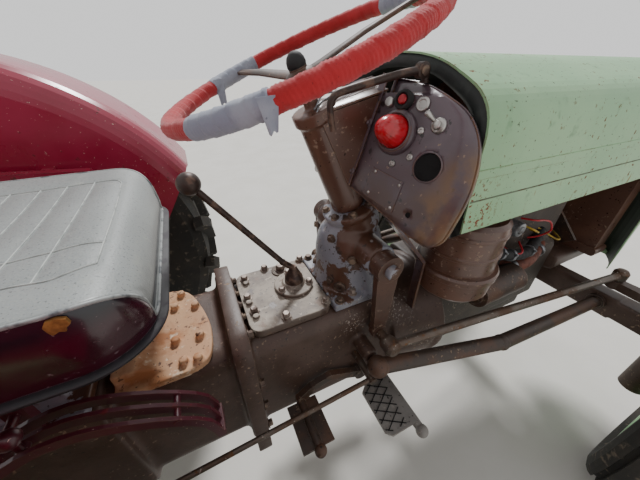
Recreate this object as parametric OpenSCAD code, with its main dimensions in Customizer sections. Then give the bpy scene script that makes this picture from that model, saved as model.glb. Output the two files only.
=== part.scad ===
/* [Layout] */
// Distance between the front and rear axles
wheelbase = 1778; // [1740:1:1820]
// Distance from the middle to each rear wheel's centre
rear_track_half = 660; // [650:1:700]
// Distance from the middle to each front wheel's centre
front_track_half = 595; // [590:1:620]
// Distance from the middle to each kingpin
kingpin_y = 480; // [470:1:490]
// Forward reach of the bonnet's nose past the front axle
nose_reach = 307; // [300:1:330]
// Rearward reach of the lower links past the rear axle
link_reach = 780; // [740:1:820]

/* [Tyres] */
// Outer radius of a rear tyre over its lugs
rear_tyre_r = 615; // [600:1:630]
// Width of a rear tyre
rear_tyre_w = 275; // [250:1:285]
// Height of a rear tyre's lugs
lug_h = 36; // [20:1:40]
// Lugs on each side of a rear tyre
lug_count = 19; // [14:1:24]
// Width of one lug
lug_w = 42; // [30:1:50]
// Radius of a rear rim at the tyre's bead
rear_bead_r = 356; // [340:1:370]
// Outer radius of a front tyre
front_tyre_r = 345; // [335:1:355]
// Width of a front tyre
front_tyre_w = 120; // [100:1:130]
// Radius of a front rim at the tyre's bead
front_bead_r = 241; // [230:1:250]

/* [Castings] */
// Half width of the rear case
case_half_w = 140; // [130:1:150]
// Half width of the gearbox case
gearbox_half_w = 120; // [110:1:125]
// Height of the gearbox case's top
gearbox_top = 745; // [735:1:755]
// Height of the gearbox case's bottom
gearbox_bottom = 440; // [420:1:450]
// Front face of the rear case, where the gearbox bolts on
flange_x = 596; // [580:1:610]
// Front face of the bell housing, where the engine bolts on
engine_x = 1150; // [1140:1:1160]
// Half width of the crankcase
crankcase_half_w = 122; // [115:1:124]
// Thickness of a bolted cover
cover_t = 20; // [14:1:24]

/* [Steering] */
// Radius of the steering wheel's rim centreline
wheel_rim_r = 220; // [200:1:225]
// Radius of the wrapped rim
wheel_grip_r = 18; // [12:1:20]
// Lean of the steering column from upright
column_lean = 23; // [18:1:28]
// Length of a drop arm between its shaft and its ball
drop_arm_l = 192; // [180:1:200]
// Length of a kingpin's steering arm
steer_arm_l = 190; // [180:1:195]

/* [Bonnet] */
// Half width of the bonnet at its lower edge
hood_half_w = 232; // [228:1:236]
// Height of the bonnet's top
hood_top = 1254; // [1245:1:1265]
// Height of the bonnet's lower side edge
hood_edge_z = 985; // [975:1:995]
// Height of the nose's lower edge
nose_edge_z = 600; // [590:1:620]
// Thickness of the bonnet's sheet
hood_t = 3; // [2:0.5:5]
// Rear edge of the bonnet
hood_rear_x = 985; // [980:1:1000]
// Number of upright grille bars
grille_bars = 17; // [11:2:23]

/* [Fenders] */
// Space between a rear tyre's lugs and the fender's crown
fender_gap = 50; // [35:1:75]
// Thickness of a fender's sheet
fender_t = 5; // [3:1:6]
// Inner wall of a fender, from the middle
fender_y = 447; // [440:1:452]
// Width of a fender
fender_w = 260; // [230:1:280]

/* [Linkage] */
// Bore radius of a lower link's ball end
link_bore_r = 11.1; // [11:0.1:12]
// Length of a lift arm
lift_arm_l = 250; // [230:1:270]
// Radius of the power take-off shaft
pto_r = 17.5; // [15:0.5:20]
// Hole radius in the drawbar
drawbar_hole_r = 12.5; // [10:0.5:14]

/* [Hidden] */
$fn = 48;

// Places are measured from the rear axle, and the whole is then centred along X.
link_end_r = 30;
mid_x = (wheelbase + max(nose_reach, front_tyre_r) - link_reach - link_end_r) / 2;
// Running clearance at pins and bores, and the gap at faces that only touch
fit = 0.3;
// Free space kept between pieces that move past each other
free = 6;

fender_r = rear_tyre_r + fender_gap;
rear_axle_z = rear_tyre_r;
front_axle_z = front_tyre_r;
case_bottom = 430;
case_top = 765;
case_rear_x = -130;
neck_x = 366;
flange_t = 20;
flange_half_w = 150;
bell_z = 560;
bell_r = 172;
bell_x = 985;
trumpet_end_y = 458;
backplate_t = 8;
backplate_r = 170;
rear_shaft_r = 28;
drum_r = 176;
drum_gap = 6;

// The foot of a fender's slanted front edge, from the rear axle
fender_front_x = 454;
fender_front_z = 145;

// The steering gear
hub_x = 780;
hub_z = 1240;
column_r = 36;
column_top_drop = 88;
column_bottom_drop = 292;
shaft_x = 912;
shaft_z = 875;
sector_shaft_r = 16;
sector_boss_r = 38;
sector_boss_y = 125;
drop_hub_t = 34;
ball_y = 200;
ball_r = 20;
stud_r = 8;
steer_box_half_w = 84;
steer_box_x0 = 815;
steer_box_x1 = 985;
front_ball_y = kingpin_y - steer_arm_l;

// The front axle
beam_z0 = 500;
beam_z1 = 580;
beam_t = 50;
sleeve_z0 = 440;
sleeve_z1 = 600;
sleeve_r = 32;
kingpin_r = 19;
steer_arm_z0 = sleeve_z1 + free;
steer_arm_t = 28;
steer_arm_top = steer_arm_z0 + steer_arm_t;
stub_r = 16;
pivot_pin_r = 18;
pivot_z = (beam_z0 + beam_z1) / 2;

// The joint between the engine's outlet and the top hose
hose_foot = [1676, 0, 958];

// The ball at the rear of a radius rod
rod_ball = [880, 206, 632];
rod_ball_r = 26;

// The rear linkage
lift_shaft_x = -60;
lift_shaft_z = 840;
lift_shaft_r = 20;
lift_house_y = 190;
lift_arm_t = 22;
lift_arm_y = lift_house_y + free;
lift_rod_y = lift_arm_y + lift_arm_t + free;
lift_rod_t = 20;
link_pin_x = 20;
link_pin_z = 400;
link_pin_r = 10;
link_pin_y = 215;
link_end_y = 355;
link_end_z = 480;
link_t = 14;
link_yaw = atan((link_end_y - link_pin_y) / (link_reach + link_pin_x));
link_rise = atan((link_end_z - link_pin_z) / (link_reach + link_pin_x));
link_len = sqrt(pow(link_reach + link_pin_x, 2) + pow(link_end_y - link_pin_y, 2));
rod_foot_x = -400;
rod_foot_z = link_pin_z + (link_pin_x - rod_foot_x) * tan(link_rise);

// The seat: its pan's wall, its folded lip, and where the cushion rolls over the front
seat_z = 945;
seat_x0 = 134;
seat_x1 = 508;
seat_half_w = 231;
seat_sheet = 6;
seat_lip = 12;
seat_edge_h = 92;
seat_roll_x = 430;

// The bonnet's hinge
hood_pivot_x = wheelbase + 216;
hood_pivot_z = 643;
hood_pin_r = 8;
hood_ear_y = 122;
hood_ear_t = 8;
nose_x = wheelbase + nose_reach;
nose_start_x = wheelbase + 72;
nose_side_x = wheelbase + 112;
grille_half_w = 150;
grille_z0 = 640;
grille_z1 = 1120;

metal_dark = "#4a3a34";
metal_grey = "#8a8580";
paint_red = "#a52a22";
paint_mint = "#a0b996";
paint_maroon = "#6d2430";
rubber_black = "#222222";
cloth_red = "#c03a2c";

// Moves a piece from the rear axle's own frame into the part's frame.
module place(x = 0, y = 0, z = 0) {
    translate([x - mid_x, y, z]) children();
}

// Draws a piece on the left, or mirrored on the right.
module on_side(side) {
    if (side > 0) children();
    else mirror([0, 1, 0]) children();
}

// Draws a piece on both sides.
module both_sides() {
    children();
    mirror([0, 1, 0]) children();
}

// A round bar along Y from y0 to y1.
module bar_y(r, y0, y1) {
    translate([0, y0, 0]) rotate([-90, 0, 0]) cylinder(r = r, h = y1 - y0);
}

// A round bar along X from x0 to x1.
module bar_x(r, x0, x1) {
    translate([x0, 0, 0]) rotate([0, 90, 0]) cylinder(r = r, h = x1 - x0);
}

// A box given by its low and high corners.
module box(low, high) {
    translate(low) cube(high - low);
}

// A round bar between two points.
module rod(a, b, r) {
    d = b - a;
    translate(a)
        rotate([0, acos(d[2] / norm(d)), atan2(d[1], d[0])])
            cylinder(r = r, h = norm(d));
}

// Corner points of a rounded rectangle from low to high, each corner a quarter circle.
function rounded(low, high, r, steps = 6) = [
    for (c = [[1, 1, 0], [0, 1, 90], [0, 0, 180], [1, 0, 270]])
        for (i = [0 : steps])
            let (a = c[2] + 90 * i / steps)
                [(c[0] == 1 ? high[0] - r : low[0] + r) + r * cos(a),
                 (c[1] == 1 ? high[1] - r : low[1] + r) + r * sin(a)]
];

// Extrudes an outline drawn in (y, z) along X from x0 to x1.
// A smooth curve through the points, in so many steps from each to the next.
function smooth(p, steps) = concat(
    [for (i = [0 : len(p) - 2], k = [0 : steps - 1])
        let (t = k / steps, a = p[max(i - 1, 0)], b = p[i], c = p[i + 1], d = p[min(i + 2, len(p) - 1)])
            (2 * b + (c - a) * t + (2 * a - 5 * b + 4 * c - d) * t * t
             + (3 * b - a - 3 * c + d) * t * t * t) / 2],
    [p[len(p) - 1]]);

module along_x(x0, x1) {
    translate([x0, 0, 0]) rotate([90, 0, 90]) linear_extrude(x1 - x0) children();
}

// Extrudes an outline drawn in (x, z) along Y from y0 to y1.
module along_y(y0, y1) {
    translate([0, y1, 0]) rotate([90, 0, 0]) linear_extrude(y1 - y0) children();
}

// Revolves an outline drawn in (radius, y) about the Y axis.
module about_y(angle = 360) {
    rotate([-90, 0, 0]) mirror([0, 1, 0]) rotate_extrude(angle = angle) children();
}

// A hexagon bolt head standing on a face at z = 0.
module bolt_head(r = 9, h = 8) {
    cylinder(r = r, h = h, $fn = 6);
}

module rear_case() {
    color(metal_dark) place() {
        union() {
            along_x(case_rear_x, neck_x)
                polygon(rounded([-case_half_w, case_bottom], [case_half_w, case_top], 40));
            along_x(neck_x, flange_x - flange_t)
                polygon(rounded([-gearbox_half_w, gearbox_bottom],
                                [gearbox_half_w, gearbox_top], 36));
            along_x(flange_x - flange_t, flange_x)
                polygon(rounded([-flange_half_w, gearbox_bottom - 16],
                                [flange_half_w, gearbox_top + 24], 46));
            translate([0, 0, rear_axle_z]) bar_y(150, -190, 190);
            translate([case_rear_x, 0, 540]) bar_x(72, -30, 0);
            translate([case_rear_x - 30, 0, 540]) bar_x(pto_r, -76, 1);
            both_sides() {
                box([-14, 118, link_pin_z - 24], [54, 150, case_bottom + 30]);
                translate([link_pin_x, 0, link_pin_z])
                    bar_y(link_pin_r, 149, link_pin_y + 20);
            }
        }
    }
}

module hatch_cover() {
    x0 = neck_x + 16;
    edge = smooth([[-116, 118], [-84, 96], [-62, 42], [-49, -14], [-47, -50], [-51, -90],
                   [-64, -116], [-98, -126]], 3);
    bolts = [[-100, 90], [-115, 51], [-72, 38], [-69, -54], [-115, -49], [-102, -104], [-77, -108]];
    color("#9a6f4e") place(0, 0, gearbox_top) {
        linear_extrude(14)
            polygon(concat([[x0, -126], [x0, 118]], [for (p = edge) [flange_x + p[0], p[1]]]));
        along_y(-104, 96)
            polygon([[x0, 13], [x0, 38], [x0 + 36, 38], [x0 + 62, 24], [x0 + 84, 13]]);
        for (b = bolts) translate([flange_x + b[0], b[1], 14]) bolt_head(9, 13);
    }
}

module lift_cover() {
    color(metal_grey) place() difference() {
        union() {
            box([case_rear_x + 10, -150, case_top], [neck_x - 6, 150, case_top + cover_t]);
            along_y(-112, 112)
                polygon([[case_rear_x + 34, case_top + 10], [neck_x - 34, case_top + 10],
                         [neck_x - 40, 832], [neck_x - 62, 850], [lift_shaft_x + 30, 850],
                         [case_rear_x + 40, 830]]);
            translate([lift_shaft_x, 0, lift_shaft_z]) bar_y(44, -lift_house_y, lift_house_y);
        }
        translate([lift_shaft_x, 0, lift_shaft_z])
            bar_y(lift_shaft_r + fit, -lift_house_y - 1, lift_house_y + 1);
    }
}

module gearbox_case() {
    color(metal_dark) place() {
        difference() {
            union() {
                along_x(flange_x, flange_x + flange_t)
                    polygon(rounded([-flange_half_w, gearbox_bottom - 16],
                                    [flange_half_w, gearbox_top + 24], 46));
                along_x(flange_x + flange_t, bell_x)
                    polygon(rounded([-gearbox_half_w, gearbox_bottom],
                                    [gearbox_half_w, gearbox_top], 36));
                translate([bell_x, 0, bell_z]) rotate([0, 90, 0])
                    rotate_extrude()
                        polygon([[0, 0], [148, 0], [bell_r - 6, engine_x - bell_x - 24],
                                 [bell_r, engine_x - bell_x - 20],
                                 [bell_r, engine_x - bell_x], [0, engine_x - bell_x]]);
                both_sides()
                    translate([rod_ball[0], 0, rod_ball[2]])
                        bar_y(20, gearbox_half_w - 10, rod_ball[1] - rod_ball_r - fit);
            }
        }
    }
}

module gearbox_cover() {
    x0 = flange_x + flange_t + 8;
    x1 = steer_box_x0 - 3;
    bolts = [[646, 57], [638, -13], [643, -60], [703, -92], [704, 92], [800, 92], [800, -92]];
    color("#b9b5a6") place(0, 0, gearbox_top) {
        linear_extrude(cover_t) polygon(rounded([x0, -102], [x1, 102], 26));
        translate([hub_x - 24, 5, cover_t]) cylinder(r = 34, h = 8);
        translate([751, 84, cover_t]) {
            cylinder(r = 17, h = 4);
            bolt_head(10, 13);
        }
        for (b = bolts) translate([b[0], b[1], cover_t]) bolt_head(8, 8);
    }
}

module gear_lever() {
    foot = [hub_x - 24, 5, gearbox_top + cover_t + 8];
    bend = [hub_x - 50, 0, 848];
    knob = [hub_x - 200, 0, 1062];
    color(metal_dark) place() {
        translate(foot) rotate_extrude()
            polygon([[0, 0], [24, 0], [22, 20], [12, 40], [7, 52], [0, 52]]);
        rod(foot + [0, 0, 46], bend, 7);
        rod(bend, knob, 6.5);
        translate(bend) sphere(r = 8);
        translate(knob) sphere(r = 20);
    }
}

module axle_tubes() {
    color(metal_dark) place(0, 0, rear_axle_z) both_sides() {
        about_y() polygon([[0, 190], [132, 190], [132, 206], [92, 214], [64, 330], [64, 430],
                           [90, trumpet_end_y - 18], [backplate_r, trumpet_end_y],
                           [backplate_r, trumpet_end_y + backplate_t],
                           [rear_shaft_r, trumpet_end_y + backplate_t],
                           [rear_shaft_r, 612], [0, 612]]);
        box([-70, fender_y - 14, 40], [70, fender_y - fit, 420]);
    }
}

module engine_block() {
    sump = 400;
    deck = 880;
    color("#b4b0a8") place() {
        along_x(engine_x, 1690)
            polygon(rounded([-crankcase_half_w, 466], [crankcase_half_w, 720], 24));
        along_x(engine_x + 30, 1660)
            polygon(rounded([-crankcase_half_w + 14, sump], [crankcase_half_w - 14, 480], 30));
        along_x(1262, 1668)
            polygon(rounded([-104, 700], [104, deck], 10));
        along_x(1266, 1664)
            polygon(rounded([-112, deck - 4], [112, deck + 45], 12));
        translate([hose_foot[0] - 34, 0, deck + 40]) cylinder(r = 28, h = hose_foot[2] - deck - 14);
        translate(hose_foot) bar_x(22, -34, 0);
        for (x = [1306 : 106 : 1624]) translate([x, -40, deck + 45]) {
            cylinder(r = 13, h = 12);
            cylinder(r = 8, h = 44);
        }
        for (x = [1290 : 58 : 1640], y = [-96, 40, 96])
            translate([x, y, deck + 45]) bolt_head(8, 8);
    }
}

module manifold() {
    color("#7c5a48") place() {
        translate([0, 140, 800]) bar_x(32, 1290, 1650);
        for (x = [1310, 1420, 1520, 1630])
            translate([x, 0, 800]) bar_y(24, 104, 130);
        translate([1470, 146, 800]) cylinder(r = 26, h = 70);
        rod([1310, 150, 790], [1310, 168, 560], 22);
        rod([1310, 168, 560], [1200, 190, 400], 22);
        rod([1200, 190, 400], [700, 205, 380], 22);
        translate([1310, 168, 560]) sphere(r = 24);
        translate([1200, 190, 400]) sphere(r = 24);
        rod([1080, 193.9, 395.2], [800, 202.2, 384], 42);
    }
}

module starter() {
    color("#8a4a3a") place() {
        translate([0, -crankcase_half_w - 42 - fit, 690]) {
            bar_x(42, 1230, 1400);
            bar_x(30, 1222, 1412);
        }
        translate([0, crankcase_half_w + 46 + fit, 640]) {
            bar_x(46, 1440, 1640);
            bar_x(34, 1430, 1668);
        }
    }
}

module air_cleaner() {
    color("#5a3a30") place(engine_x, -130, 0) {
        translate([0, 0, 735]) rotate_extrude()
            polygon([[0, 0], [66, 0], [84, 6], [92, 16], [95, 60], [99, 64], [100, 76], [96, 82],
                     [88, 84], [87, 122], [90, 125], [90, 131], [87, 134], [87, 176], [90, 179],
                     [90, 185], [87, 188], [86, 205], [78, 214], [40, 218], [40, 240], [0, 240]]);
        box([80, -18, 800], [112, 40, 840]);
    }
}

module radiator() {
    hose_knee = [1746, 0, 1000];
    color("#4d4038") place() {
        box([1806, -190, 690], [1866, 190, 1090]);
        along_x(1800, 1872)
            polygon(rounded([-200, 1090], [200, 1150], 22));
        along_x(1800, 1872)
            polygon(rounded([-200, 660], [200, 690], 10));
        translate([1836, 0, 1150]) {
            cylinder(r = 24, h = 22);
            cylinder(r = 32, h = 12);
        }
        rod([1802, 0, 1118], hose_knee, 22);
        rod(hose_knee, hose_foot + [14, 0, 0], 22);
        translate(hose_foot) bar_x(24, fit, 26);
        translate(hose_knee) sphere(r = 25);
    }
}

module fan() {
    color("#6a6a66") place(1690, 0, 830) {
        bar_x(60, 10, 40);
        bar_x(18, -22, 76);
        for (a = [45 : 90 : 315]) rotate([a, 0, 0])
            translate([60, 0, 16]) rotate([0, 0, 28])
                box([-3, -38, 0], [3, 38, 168]);
    }
}

module fuel_tank() {
    color("#5d4336") place() {
        along_x(1275, 1690)
            polygon(rounded([-185, 985], [185, 1195], 50));
        for (x = [1360, 1537]) box([x, -60, 925], [x + 30, 60, 990]);
        translate([1480, 0, 1190]) cylinder(r = 38, h = 26);
    }
}

module front_support() {
    color(metal_dark) place() difference() {
        union() {
            along_x(1690, 1960) polygon(rounded([-150, 600], [150, 660], 16));
            for (x = [1692, 1806]) box([x, -70, beam_z0 - 16], [x + 40, 70, 610]);
            box([1690, -100, 560], [1732, 100, 650]);
            for (s = [-1, 1]) box([1950, s > 0 ? 90 : -114, 626], [2010, s > 0 ? 114 : -90, 660]);
            translate([0, 0, pivot_z]) bar_x(pivot_pin_r, 1700, 1840);
            translate([hood_pivot_x, 0, hood_pivot_z])
                bar_y(hood_pin_r, -hood_ear_y - hood_ear_t - 8, hood_ear_y + hood_ear_t + 8);
        }
    }
}

module front_axle_beam() {
    color("#7f7f6e") place(wheelbase, 0, 0) difference() {
        union() {
            box([-beam_t / 2, -330, beam_z0], [beam_t / 2, 330, beam_z1]);
            both_sides() {
                box([beam_t / 2, 240, beam_z0 + 6], [beam_t / 2 + 22, 440, beam_z1 - 6]);
                along_x(-beam_t / 2, beam_t / 2 + 22)
                    polygon([[332, beam_z0 + 6], [kingpin_y, beam_z0 + 6],
                             [kingpin_y, beam_z1 - 6], [332, beam_z1 - 6]]);
                translate([0, kingpin_y, sleeve_z0]) cylinder(r = sleeve_r, h = sleeve_z1 - sleeve_z0);
                for (y = [262, 310]) translate([beam_t / 2 + 22, y, pivot_z])
                    rotate([0, 90, 0]) bolt_head(12, 10);
            }
        }
        both_sides() translate([0, kingpin_y, sleeve_z0 - 1])
            cylinder(r = kingpin_r + fit, h = sleeve_z1 - sleeve_z0 + 2);
        translate([0, 0, pivot_z]) bar_x(pivot_pin_r + fit, -60, 60);
    }
}

module radius_rods() {
    ball = rod_ball;
    knee = [1230, 278, 608];
    tip = [wheelbase - beam_t / 2 - fit, 285, 545];
    color(metal_dark) place() both_sides() {
        translate(ball) sphere(r = rod_ball_r);
        rod(ball, knee, 19);
        translate(knee) sphere(r = 21);
        rod(knee, tip - [12, 0, 0], 19);
        translate(tip) bar_x(26, -14, 0);
    }
}

module steering_box() {
    color("#7a6f70") place() {
        union() {
            box([steer_box_x0, -105, gearbox_top], [steer_box_x1, 105, gearbox_top + cover_t]);
            translate([shaft_x - 6, 0, gearbox_top + 8]) rotate_extrude()
                polygon([[0, 0], [90, 0], [88, 16], [steer_box_half_w, 40], [steer_box_half_w, 96],
                         [80, 124], [72, 146], [60, 162], [44, 172], [0, 176]]);
            along_y(-9, 9)
                polygon([[steer_box_x0 + 4, gearbox_top + 12], [870, gearbox_top + 12], [850, 850]]);
            both_sides() along_x(shaft_x - 12, shaft_x + 12)
                polygon([[60, gearbox_top + 12], [102, gearbox_top + 12], [84, 820]]);
            translate([shaft_x, 0, shaft_z])
                bar_y(sector_boss_r, -sector_boss_y, sector_boss_y);
            translate([shaft_x, 0, shaft_z])
                bar_y(sector_shaft_r, -sector_boss_y - drop_hub_t - 14,
                      sector_boss_y + drop_hub_t + 14);
            column_frame() {
                translate([0, 0, -44]) cylinder(r = 60, h = 52);
                translate([0, 0, 4]) cylinder(r = 64, h = 14);
            }
        }
    }
}

// The frame of the column: its origin where the column meets the box, +Z up the column.
module column_frame() {
    translate([hub_x + column_bottom_drop * tan(column_lean), 0, hub_z - column_bottom_drop])
        rotate([0, -column_lean, 0]) children();
}

module steering_column() {
    len = (column_bottom_drop - column_top_drop) / cos(column_lean);
    top_x = hub_x + column_top_drop * tan(column_lean);
    color("#5b3b30") place() {
        column_frame() translate([0, 0, 18 + fit]) {
            cylinder(r1 = column_r + 2, r2 = column_r, h = len - 18);
            translate([0, 0, len - 24]) cylinder(r = 42, h = 22);
            translate([0, 0, len - 4]) cylinder(r = 14, h = 84);
        }
        along_y(-34.5, 34.5)
            polygon([[top_x + 20, 1140], [960, 1176], [952, 1150], [905, 1020], [880, 1000]]);
    }
}

// The right half of the dash is flat, swept and leaning, and the left half mirrors it.
module dash_half() {
    translate([873, -41, 1024]) rotate([90 - 18.5, 0, -90 + 16.7])
        children();
}

module dash_panel() {
    sheet = 3;
    skirt = 18;
    outline = [[0, 0], [173, -52], [209, -32], [217, 56], [205, 113], [176, 154],
               [132, 178], [79, 197], [20, 206]];
    inner = [[6, 4], [172, -46], [203, -29], [211, 55], [199, 110], [172, 148],
             [129, 172], [77, 190], [24, 199]];
    color("#5a4048") place() both_sides() mirror([0, 1, 0]) {
        along_y(-128, -104)
            polygon([[893, 1004], [902, 1008], [1046, 834], [1046, 677], [1040, 677], [1040, 830]]);
        dash_half() difference() {
            translate([0, 0, -skirt]) linear_extrude(skirt) polygon(outline);
            translate([0, 0, -skirt - 1]) linear_extrude(skirt + 1 - sheet) polygon(inner);
            translate([143, 71, -6]) cylinder(r = 23, h = 12);
            translate([140, -12, -6]) cylinder(r = 5, h = 12, $fn = 24);
        }
    }
}

module dash_lamp() {
    color("#c02020") place() dash_half() translate([66, 104, fit]) {
        cylinder(r = 42, h = 10);
        rotate_extrude() polygon([[0, 8], [31, 8], [31, 14], [30, 28], [26, 42], [18, 52], [0, 57]]);
    }
}

module throttle_lever() {
    color(metal_grey) place() {
        translate([hub_x + 177, -100, 1224]) bar_y(11, -7, 7);
        rod([hub_x + 170, -100, 1222], [hub_x + 24, -100, 1184], 6);
        rod([hub_x + 24, -100, 1184], [hub_x + 20, -100, 1150], 6);
        translate([hub_x + 24, -100, 1184]) sphere(r = 7);
        translate([hub_x + 186, -100, 1209]) cylinder(r = 6, h = 15);
    }
}

module seat_spring() {
    foot = 850;
    leaf = 7;
    r = (seat_z - fit - foot) / 2;
    bend = [310, foot + r];
    color(metal_grey) place() along_y(-34, 34)
        polygon(concat(
            [[160, foot]],
            [for (a = [-90 : 15 : 90]) bend + r * [cos(a), sin(a)]],
            [[200, foot + 2 * r], [200, foot + 2 * r - leaf]],
            [for (a = [90 : -15 : -90]) bend + (r - leaf) * [cos(a), sin(a)]],
            [[160, foot + leaf]]));
}

// The seat's plan, drawn in by t from the pan's wall.
function seat_plan(t) = rounded([seat_x0 + t, -seat_half_w + t], [seat_x1 - t, seat_half_w - t], 76 - t);

// The height of the cushion's edge above the pan's base, level and then rolling down at the front.
function seat_edge(x) = seat_lip + (seat_edge_h - seat_lip)
    * pow(1 - pow(max(0, x - seat_roll_x) / (seat_x1 + 2 - seat_roll_x), 3), 1 / 3);

// What lies below that edge, seen from the side.
function seat_side(drop) = concat(
    [[seat_x1 + 2, -1], [seat_x0 - 20, -1], [seat_x0 - 20, seat_edge_h - drop]],
    [for (k = [0 : 10])
        let (x = seat_roll_x + (seat_x1 + 2 - seat_roll_x) * sin(9 * k))
            [x, max(seat_lip, seat_edge(x) - drop)]]);

module seat_pan() {
    color(paint_maroon) place(0, 0, seat_z) {
        linear_extrude(seat_sheet) polygon(seat_plan(-9));
        intersection() {
            difference() {
                linear_extrude(seat_edge_h) polygon(seat_plan(0));
                translate([0, 0, -1]) linear_extrude(seat_edge_h + 2) polygon(seat_plan(seat_sheet));
            }
            along_y(-300, 300) polygon(seat_side(14));
        }
    }
}

module seat_cushion() {
    color("#26282a") place(0, 0, seat_z) intersection() {
        union() {
            translate([0, 0, seat_sheet + fit])
                linear_extrude(seat_edge_h) polygon(seat_plan(seat_sheet + fit));
            difference() {
                translate([0, 0, seat_lip + fit]) linear_extrude(seat_edge_h) polygon(seat_plan(-1));
                along_y(-301, 301) polygon(seat_side(14 - fit));
            }
        }
        along_y(-300, 300) polygon(seat_side(0));
    }
}

module quadrant() {
    top = smooth([[236, 772], [268, 817], [312, 847], [356, 860], [396, 856], [440, 836], [492, 799],
                  [529, 757], [542, 704]], 2);
    low = smooth([[529, 702], [517, 750], [483, 787], [433, 823], [393, 842], [357, 846],
                  [318, 834], [278, 807], [248, 766]], 2);
    color(paint_maroon) place() {
        for (y = [-186, -207, -228]) along_y(y - 3, y + 3) polygon(concat(top, low));
        translate([300, 0, 833]) bar_y(6, -232, -145 - fit);
        translate([488, 0, 793]) bar_y(5, -232, -182);
        box([529, -231, 703], [542, -183, 718]);
        box([288, -152, 785], [312, -138, 845]);
        rod([336, -217.5, 836], [336, -217.5, 872], 4.5);
        translate([336, -217.5, 876]) sphere(r = 12);
        translate([336, 0, 848]) bar_y(6, -229, -206);
    }
}

module fender(side) {
    r = fender_r;
    t = fender_t;
    c = 60;
    arc_in = [for (a = [0 : 15 : 90]) [r - c + c * sin(a), c - c * cos(a)]];
    arc_out = [for (a = [90 : -15 : 0]) [r - c + (c + t) * sin(a), c - (c + t) * cos(a)]];
    color(paint_red) place(0, 0, rear_axle_z) on_side(side) difference() {
        translate([0, fender_y + t, 0]) mirror([0, 1, 0]) rotate([90, 0, 0]) rotate([0, 0, 4])
            rotate_extrude(angle = 162, $fn = 144)
                polygon(concat([[360, 0]], arc_in, [[r, fender_w], [r + t, fender_w]], arc_out,
                               [[360, -t]]));
        along_y(fender_y - 10, fender_y + fender_w + 20)
            polygon([[574, 338], [fender_front_x, fender_front_z], [300, -100], [900, -100], [900, 338]]);
    }
}

module fender_left() {
    fender(1);
}

module fender_right() {
    fender(-1);
}

module fender_rails() {
    y0 = 394;
    y1 = 424;
    front = [345, 1000];
    crest = [-60, 1030];
    rear = [-380, 930];
    depth = [0, 26];
    color(paint_red) place() both_sides() {
        along_y(y0, y1) polygon([front, crest, rear, rear - depth, crest - depth, front - depth]);
        for (x = [250, -300])
            box([x - 14, y1 - 1, 960 + x / 12], [x + 14, fender_y - fit, 984 + x / 12]);
    }
}

module footrests() {
    color("#3a3432") place() both_sides() {
        translate([946, 0, 489]) bar_y(11, gearbox_half_w + fit, 319);
        translate([946, 321, 489]) sphere(r = 15);
        translate([0, 0, 494]) linear_extrude(8)
            polygon([[861, 187], [901, 154], [946, 154], [946, 303], [874, 303], [860, 290]]);
    }
}

module pedals() {
    color("#3a3432") place() both_sides() {
        translate([885, 0, 508]) bar_y(20, gearbox_half_w + fit, 146);
        along_y(128, 144)
            polygon([[885, 520], [790, 566], [735, 552], [694, 520], [694, 500], [716, 500],
                     [742, 532], [788, 544], [880, 496]]);
        translate([705, 0, 511]) bar_y(10, 140, 258);
        translate([705, 260, 511]) sphere(r = 14);
        box([667, 142, 503], [744, 252, 509]);
    }
    color("#3a3432") place() {
        translate([830, 0, 550]) bar_y(12, gearbox_half_w + fit, 188);
        along_y(176, 188)
            polygon(concat(smooth([[832, 561], [770, 598], [700, 630], [650, 655], [618, 674]], 2),
                           smooth([[612, 662], [645, 643], [694, 618], [762, 586], [824, 540]], 2)));
        translate([604, 190, 664]) cylinder(r = 27, h = 10);
    }
}

module brake_rods() {
    y = 200;
    rear = [111, y, 528];
    front = [872, y, 578];
    color(metal_grey) place() both_sides() {
        rod(rear, front, 6);
        translate([rear[0], 0, rear[2]]) bar_y(8, 190 + fit, y + 10);
        translate([front[0], 0, front[2]]) bar_y(10, gearbox_half_w + fit, y + 10);
    }
}

module drawbar() {
    color(metal_dark) place() difference() {
        union() {
            box([-430, -38, 350], [70, 38, 370]);
            box([10, -40, 369], [70, 40, case_bottom - fit]);
            for (s = [-1, 1]) box([-110, s > 0 ? 39 : -55, 340], [-84, s > 0 ? 55 : -39, case_bottom - fit]);
            box([-110, -55, 336], [-84, 55, 349.5]);
        }
        translate([-400, 0, 340]) cylinder(r = drawbar_hole_r, h = 40);
    }
}

// Half of the bonnet's cross section, from its crown down to its edge: y, z below the top.
hood_knots = [[0, 0], [60, 4], [110, 14], [158, 33], [193, 52], [214, 76], [223, 106],
              [224.5, 150], [227, 195], [hood_half_w, hood_top - hood_edge_z]];
hood_section = concat(smooth(hood_knots, 3), [[hood_half_w, hood_top - nose_edge_z]]);

// The whole cross section drawn in (y, z), drawn in by t from the outer skin.
function hood_outline(t) = concat(
    [for (p = hood_section) [p[0] * (1 - t / hood_half_w), hood_top - t - p[1]]],
    [for (i = [len(hood_section) - 1 : -1 : 1])
        [-hood_section[i][0] * (1 - t / hood_half_w), hood_top - t - hood_section[i][1]]]);

// The nose's plan, a half ellipse in front of straight sides, drawn in by t.
function nose_plan(t, back) = concat(
    [[back, hood_half_w + 5 - t]],
    [for (a = [90 : -7.5 : -90])
        [nose_start_x + (nose_x - nose_start_x - t) * cos(a), (hood_half_w + 5 - t) * sin(a)]],
    [[back, -hood_half_w - 5 + t]]);

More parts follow.
